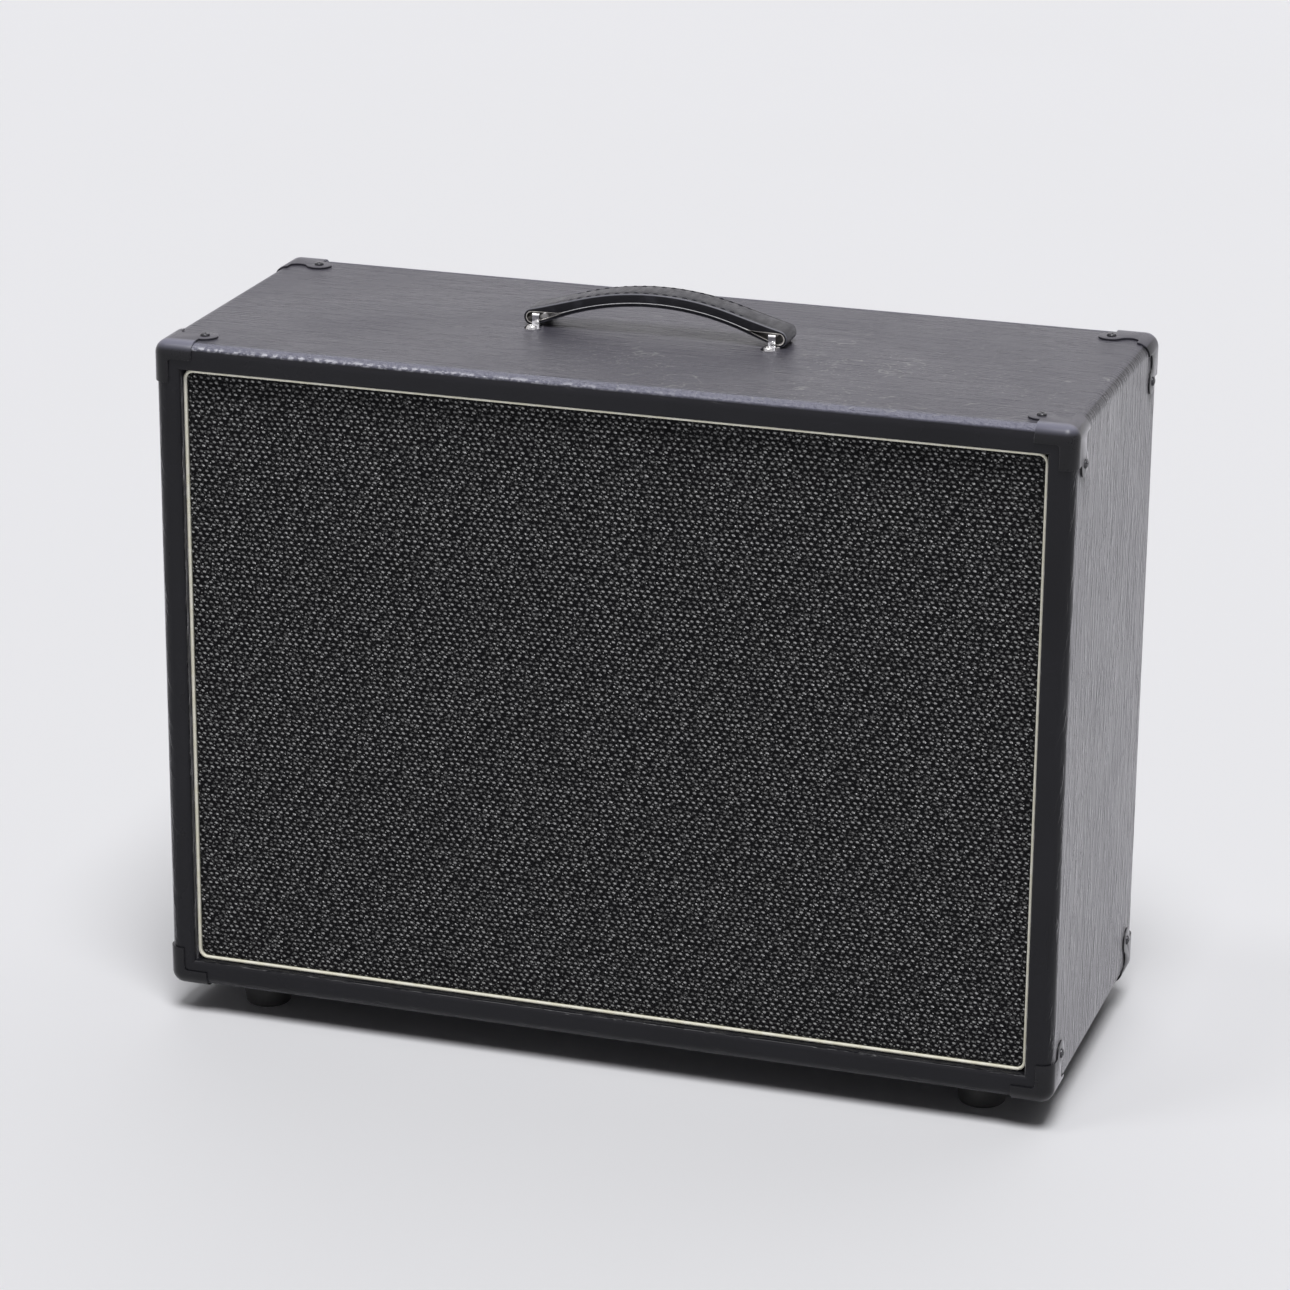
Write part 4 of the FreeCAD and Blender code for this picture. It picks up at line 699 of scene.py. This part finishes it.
def seam_reach(ray):
    """How far along a ray from the arch's middle the seam opens and closes round a loop's eye."""
    core_middle = ARCH - STRAP_THICK + LINING + CORE / 2
    low, high = SEAM_RADIUS - SEAM_HALF, SEAM_RADIUS + SEAM_HALF
    end = Vector((math.copysign(REACH, ray.x), LOOP_UP - ARCH_UP))
    tip = Vector((math.copysign(REACH - EYE_LENGTH, ray.x), 0))
    tip.y = math.sqrt(core_middle * core_middle - tip.x * tip.x)
    for step in range(EYE_STEPS + 1):
        share = step / EYE_STEPS
        middle = end.lerp(tip, share)
        radius = EYE_RIM * (1 - share) + SEAM_HALF * share
        along = middle.dot(ray)
        beside = radius * radius - middle.length_squared + along * along
        if beside > 0:
            low = min(low, along - math.sqrt(beside))
            high = max(high, along + math.sqrt(beside))
    return low, high


def strap_seam(outside):
    """The point on the seam, or on the rim of an eye, below each point round the strap."""
    arch = Vector((0, ARCH_UP))
    points = []
    for outer in outside:
        end = Vector((math.copysign(REACH, outer.x), LOOP_UP))
        if abs((outer - end).length - LOOP) < LOOP_TOLERANCE:
            points.append(end + (outer - end).normalized() * EYE_RIM)
            continue
        ray = (outer - arch).normalized()
        low, high = seam_reach(ray)
        above = (outer - arch).length > SEAM_RADIUS
        points.append(arch + ray * (high if above else low))
    return points


def strap_ring(outer, seam, inner):
    """Points across the strap at one place: face, rounded edge, side to the seam, and inside."""
    depth = (seam - outer).length
    inward = (seam - outer).normalized()
    edge = min(STRAP_EDGE, STRAP_EDGE_SHARE * depth)
    crown = min(STRAP_CROWN, STRAP_CROWN_SHARE * depth)
    groove = GROOVE if depth > GROOVED_DEPTH else 0.0
    sewn = STRAP_HALF - STITCH_INSET
    flat = STRAP_HALF - edge
    face = [
        (0.0, 0.0),
        (0.4 * flat, 0.15 * crown),
        (sewn - GROOVE_INNER, 0.7 * crown),
        (sewn, 0.8 * crown + groove),
        (sewn + GROOVE_OUTER, 0.9 * crown),
    ]
    for step in range(STRAP_EDGE_STEPS + 1):
        angle = step / STRAP_EDGE_STEPS * QUARTER_TURN
        face.append((flat + edge * math.sin(angle), crown + edge * (1 - math.cos(angle))))
    half = [(y, outer + inward * down) for y, down in face]
    half += [(STRAP_HALF, seam), (STRAP_HALF - STRAP_TUCK, seam)]
    half += [(STRAP_HALF - STRAP_TUCK, inner), (0.0, inner)]
    ring = half + [(-y, point) for y, point in reversed(half[1:-1])]
    return [(STRAP_X + point.x, STRAP_Y + y, point.y) for y, point in ring]


def add_strap():
    outside = strap_side(LOOP, ARCH, ARCH - STRAP_THICK)
    core_low = ARCH - STRAP_THICK + LINING
    inside = strap_side(CORE_LOOP, core_low + CORE, core_low)
    vertices = []
    for outer, seam, inner in zip(outside, strap_seam(outside), inside):
        vertices += strap_ring(outer, seam, inner)
    faces = strip_faces(len(outside), len(vertices) // len(outside), closed_rings=True)
    strap = add_piece("handle_leather", vertices, faces, "strap", "handle")
    sharpen(strap, STRAP_SHARP_DEGREES)
    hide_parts("handle_strap")


def add_seam():
    """The pale waxed edge between the leather's two layers, from eye to eye on both sides; its
    paleness also paints the seam's glossy highlight.
    """
    reach = math.asin((REACH - EYE_LENGTH) / SEAM_RADIUS)
    vertices = []
    faces = []
    for side in (-1, 1):
        middle = Vector((STRAP_X, STRAP_Y + side * STRAP_HALF, ARCH_UP))
        points = []
        for step in range(SEAM_STEPS):
            angle = reach * (2 * step / (SEAM_STEPS - 1) - 1)
            out = Vector((math.sin(angle), 0, math.cos(angle)))
            centre = middle + SEAM_RADIUS * out
            for turn in range(CORD_SIDES):
                swing = turn / CORD_SIDES * FULL_TURN
                shift = SEAM_CORD * (math.cos(swing) * out + math.sin(swing) * ACROSS)
                points.append(centre + shift)
        gather(vertices, faces, points, strip_faces(SEAM_STEPS, CORD_SIDES))
    add_piece("handle_seam", vertices, faces, "seam", "handle")


def stitch_points(centre, along, out):
    """One bulging stitch that dips into the leather at both ends."""
    points = []
    for share, swell in STITCH_ROWS:
        for side in range(CORD_SIDES):
            angle = side / CORD_SIDES * FULL_TURN
            rise = swell * math.sin(angle) - STITCH_DIP * share * share
            shift = 0.5 * STITCH_LENGTH * share * along
            shift += STITCH_RADIUS * swell * math.cos(angle) * ACROSS
            shift += STITCH_RADIUS * rise * out
            points.append(centre + shift)
    return points


def add_stitches():
    vertices = []
    faces = []
    steps = int(STITCH_RUN / STITCH_PITCH)
    surface = ARCH - STITCH_DOWN
    for side in (-1, 1):
        middle = Vector((STRAP_X, STRAP_Y + side * (STRAP_HALF - STITCH_INSET), ARCH_UP))
        for step in range(-steps, steps + 1):
            angle = step * STITCH_PITCH / ARCH
            out = Vector((math.sin(angle), 0, math.cos(angle)))
            along = Vector((math.cos(angle), 0, -math.sin(angle)))
            points = stitch_points(middle + surface * out, along, out)
            gather(vertices, faces, points, capped_faces(len(STITCH_ROWS), CORD_SIDES))
    add_piece("handle_stitches", vertices, faces, "thread", "handle")


# Corner protectors: the moulded shells with their sharp edges eased

CORNERS = [
    f"corner_{end}_{level}_{side}"
    for end in ("front", "rear") for level in ("top", "bottom") for side in ("left", "right")
]
CORNER_MERGE = 0.01 * MM
CORNER_FLAT_DEGREES = 0.5
CORNER_SHARP_DEGREES = 40
EASED_EDGE = 0.4 * MM
EASED_FROM_DEGREES = 50
EASED_STEPS = 2
EASED_PROFILE = 0.5


def add_corner(node):
    shape = bmesh.new()
    shape.from_mesh(frame["nodes"][node].data)
    bmesh.ops.remove_doubles(shape, verts=shape.verts, dist=CORNER_MERGE)
    bmesh.ops.dissolve_limit(
        shape, angle_limit=math.radians(CORNER_FLAT_DEGREES), verts=shape.verts,
        edges=shape.edges)
    limit = math.radians(EASED_FROM_DEGREES)
    sharp = [
        edge for edge in shape.edges if edge.is_manifold and edge.calc_face_angle(0) > limit
    ]
    bmesh.ops.bevel(
        shape, geom=sharp, offset=EASED_EDGE, offset_type="OFFSET", segments=EASED_STEPS,
        profile=EASED_PROFILE, affect="EDGES", clamp_overlap=True)
    vertices = [tuple(vertex.co) for vertex in shape.verts]
    shape.verts.index_update()
    faces = [tuple(vertex.index for vertex in face.verts) for face in shape.faces]
    shape.free()
    name = node + "_moulded"
    corner = add_piece(name, vertices, faces, "corner_plastic", "cabinet")
    sharpen(corner, CORNER_SHARP_DEGREES)
    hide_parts(node)


# Screws: pan heads with a cross recess, on ridged shanks

DARK_SCREWS = ("corner_screws", "rear_panel_screws", "jack_plate_screws")
BRIGHT_SCREWS = ("handle_screws", "foot_screws", "speaker_screws")
LARGE_HEAD = 4.5 * MM
# Height of the head, and radius of the shank
LARGE_SCREW = (3 * MM, 2.4 * MM)
SMALL_SCREW = (1.8 * MM, 1.7 * MM)
SCREW_SHARP_DEGREES = 50
KEY_DIGITS = 5
HEAD_TURN = 40
# Shares of a head's radius or height
HEAD_SHARES = (0.06, 0.13, 0.2, 0.28, 0.36, 0.44, 0.52, 0.58, 0.66, 0.78, 0.9, 0.97)
HEAD_RIM = 0.95
HEAD_SIDE, HEAD_DOME = 0.35, 0.65
DOME_FROM, DOME_WIDTH = 0.45, 0.55
RECESS_REACH = 0.58
RECESS_HALF = 0.13
RECESS_END = 0.1
RECESS_WALL = 0.05
RECESS_DEPTH = 0.75
RECESS_RISE = 0.5
RIDGE_STEP = 0.8 * MM
RIDGE_ROOT = 0.8
SHANK_TIP = 0.06


def islands(mesh):
    """The points of each separate solid in a mesh."""
    owner = {}

    def root(key):
        while owner[key] != key:
            owner[key] = owner[owner[key]]
            key = owner[key]
        return key

    keys = [tuple(round(c, KEY_DIGITS) for c in vertex.co) for vertex in mesh.vertices]
    for key in keys:
        owner[key] = key
    for face in mesh.polygons:
        first = root(keys[face.vertices[0]])
        for index in face.vertices[1:]:
            owner[root(keys[index])] = first
    groups = {}
    for key in owner:
        groups.setdefault(root(key), []).append(Vector(key))
    return list(groups.values())


def clamp(value):
    return min(1, max(0, value))


def recess_depth(x, y):
    """The cross recess's depth as a share of the head's height, at shares of its radius."""
    deep = 0.0
    for along, beside in ((abs(x), abs(y)), (abs(y), abs(x))):
        inside = clamp((RECESS_REACH - along) / RECESS_END)
        inside = inside * clamp((RECESS_HALF - beside) / RECESS_WALL + 0.5)
        deep = max(deep, inside * (RECESS_DEPTH - RECESS_RISE * along / RECESS_REACH))
    return deep


def turn_angles():
    return [step / HEAD_TURN * FULL_TURN for step in range(HEAD_TURN)]


def screw_points(head, height, shank, length, turn):
    """Points of a screw that points down, ring by ring, with its head's underside at zero."""
    points = []
    for share in HEAD_SHARES:
        slope = max(0, (share - DOME_FROM) / DOME_WIDTH)
        dome = height * (HEAD_SIDE + HEAD_DOME * math.sqrt(1 - slope * slope))
        for angle in turn_angles():
            x, y = share * math.cos(angle), share * math.sin(angle)
            up = dome - height * recess_depth(x, y)
            points.append(Vector((head * x, head * y, up)))
    low_rings = [(head, HEAD_SIDE * height), (head, 0.0), (shank, 0.0)]
    ridges = int((length - 2 * shank) / RIDGE_STEP)
    for ridge in range(1, ridges + 1):
        low_rings.append((shank if ridge % 2 else RIDGE_ROOT * shank, -ridge * RIDGE_STEP))
    low_rings.append((SHANK_TIP * shank, -length))
    for radius, up in low_rings:
        for angle in turn_angles():
            points.append(Vector((radius * math.cos(angle), radius * math.sin(angle), up)))
    spin = Matrix.Rotation(turn, 3, "Z")
    return [spin @ point for point in points]


def add_screws(node, finish):
    chance = random.Random(node)
    vertices = []
    faces = []
    for solid in islands(frame["nodes"][node].data):
        low = Vector(min(p[i] for p in solid) for i in range(3))
        high = Vector(max(p[i] for p in solid) for i in range(3))
        size = high - low
        middle = (low + high) / 2
        axis = max(range(3), key=lambda i: size[i])
        across = [i for i in range(3) if i != axis]
        head = max(size[i] for i in across) / 2
        rim = HEAD_RIM * head
        wide = [p for p in solid if math.hypot(*(p[i] - middle[i] for i in across)) > rim]
        outward = 1 if sum(p[axis] for p in wide) / len(wide) > middle[axis] else -1
        height, shank = LARGE_SCREW if head > LARGE_HEAD else SMALL_SCREW
        seat = middle.copy()
        seat[axis] = (high[axis] if outward > 0 else low[axis]) - outward * height
        up = Vector((0, 0, 0))
        up[axis] = outward
        place = Matrix.Translation(seat) @ up.to_track_quat("Z", "Y").to_matrix().to_4x4()
        turn = chance.uniform(0, QUARTER_TURN)
        points = screw_points(head, height, shank, size[axis] - height, turn)
        rings = len(points) // HEAD_TURN
        gather(vertices, faces, [place @ point for point in points], capped_faces(rings, HEAD_TURN))
    screws = add_piece(node + "_cross", vertices, faces, finish, "cabinet")
    sharpen(screws, SCREW_SHARP_DEGREES)
    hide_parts(node)


# Studio

BACKDROP = {
    "Is Camera Ray": (0.8, 0.8, 0.83),
    "Is Glossy Ray": (0.98, 0.96, 1.0),
    "Is Transmission Ray": (0.98, 0.96, 1.0),
}
FILL = (0.05, 0.05, 0.05)
FLOOR_COLOURS = ((0.845, 0.845, 0.875), (0.865, 0.865, 0.89))
FLOOR_SPECULAR = {"Specular IOR Level": 0.2}
FLOOR_HALF = 25.0
# Direction from the object, strength, and width in degrees
SUNS = {
    "key": ((0.145, -0.34, 1.0), 2.25, 26),
    "rim_light": ((-0.32, -0.26, 1.0), 0.25, 12),
    "back_light": ((0.05, 0.75, 1.0), 0.5, 60),
}
# Solved from the photograph's edges: degrees, metres, and millimetres for sensor and lens
CAMERA_AZIMUTH, CAMERA_ELEVATION, CAMERA_ROLL = 17.863, 19.05, 0.462
CAMERA_PLACE = (0.989993, -3.101434, 1.420997)
CAMERA_SENSOR = 36
CAMERA_LENS = 125.745


def add_world():
    """A faint even fill, and a pale backdrop that is seen and mirrored."""
    world = bpy.data.worlds.new("studio")
    SCENE.world = world
    world.use_nodes = True
    tree = world.node_tree
    tree.nodes.clear()
    rays = tree.nodes.new("ShaderNodeLightPath").outputs
    fill = tree.nodes.new("ShaderNodeBackground")
    fill.inputs["Color"].default_value = (*FILL, 1)
    light = fill.outputs[0]
    for kind, colour in BACKDROP.items():
        pale = tree.nodes.new("ShaderNodeBackground")
        pale.inputs["Color"].default_value = (*colour, 1)
        choice = tree.nodes.new("ShaderNodeMixShader")
        tree.links.new(rays[kind], choice.inputs[0])
        tree.links.new(light, choice.inputs[1])
        tree.links.new(pale.outputs[0], choice.inputs[2])
        light = choice.outputs[0]
    end = tree.nodes.new("ShaderNodeOutputWorld")
    tree.links.new(light, end.inputs[0])


def add_floor():
    f = Finish("floor", FLOOR_SPECULAR)
    clouds = f.noise(1.3, 3)
    colour = f.mix(clouds, *FLOOR_COLOURS)
    roughness = f.between(clouds, 0.3, 0.7, 0.6, 0.7)
    f.done(colour, roughness, f.relief((f.noise(30, 3), 0.1 * MM)))
    mesh = bpy.data.meshes.new("floor")
    corners = ((-1, -1), (1, -1), (1, 1), (-1, 1))
    vertices = [(x * FLOOR_HALF, y * FLOOR_HALF, 0) for x, y in corners]
    mesh.from_pydata(vertices, [], [(0, 1, 2, 3)])
    mesh.materials.append(f.material)
    floor = bpy.data.objects.new("floor", mesh)
    SCENE.collection.objects.link(floor)


def add_sun(name, toward, energy, width):
    """A soft distant lamp in that direction from the object."""
    lamp = bpy.data.lights.new(name, "SUN")
    lamp.energy = energy
    lamp.angle = math.radians(width)
    holder = bpy.data.objects.new(name, lamp)
    holder.rotation_mode = "QUATERNION"
    holder.rotation_quaternion = Vector(toward).to_track_quat("Z", "Y")
    SCENE.collection.objects.link(holder)


def add_camera():
    """The photograph's viewpoint."""
    azimuth = math.radians(CAMERA_AZIMUTH)
    elevation = math.radians(CAMERA_ELEVATION)
    roll = math.radians(CAMERA_ROLL)
    ahead = Vector((
        -math.sin(azimuth) * math.cos(elevation),
        math.cos(azimuth) * math.cos(elevation),
        -math.sin(elevation),
    ))
    level = ahead.cross(Vector((0, 0, 1))).normalized()
    above = level.cross(ahead)
    right = math.cos(roll) * level + math.sin(roll) * above
    up = math.cos(roll) * above - math.sin(roll) * level
    data = bpy.data.cameras.new("camera")
    data.sensor_width = CAMERA_SENSOR
    data.lens = CAMERA_LENS
    holder = bpy.data.objects.new("camera", data)
    turn = Matrix((right, up, -ahead)).transposed().to_4x4()
    holder.matrix_world = Matrix.Translation(CAMERA_PLACE) @ turn
    SCENE.collection.objects.link(holder)
    SCENE.camera = holder


SCENE.view_settings.view_transform = "Standard"
add_camera()
add_world()
add_floor()
for sun_name, sun_settings in SUNS.items():
    add_sun(sun_name, *sun_settings)
dress_solids()
add_cloth()
add_strap()
add_seam()
add_stitches()
for corner_node in CORNERS:
    add_corner(corner_node)
for group in DARK_SCREWS:
    add_screws(group, "screw_dark")
for group in BRIGHT_SCREWS:
    add_screws(group, "screw_bright")
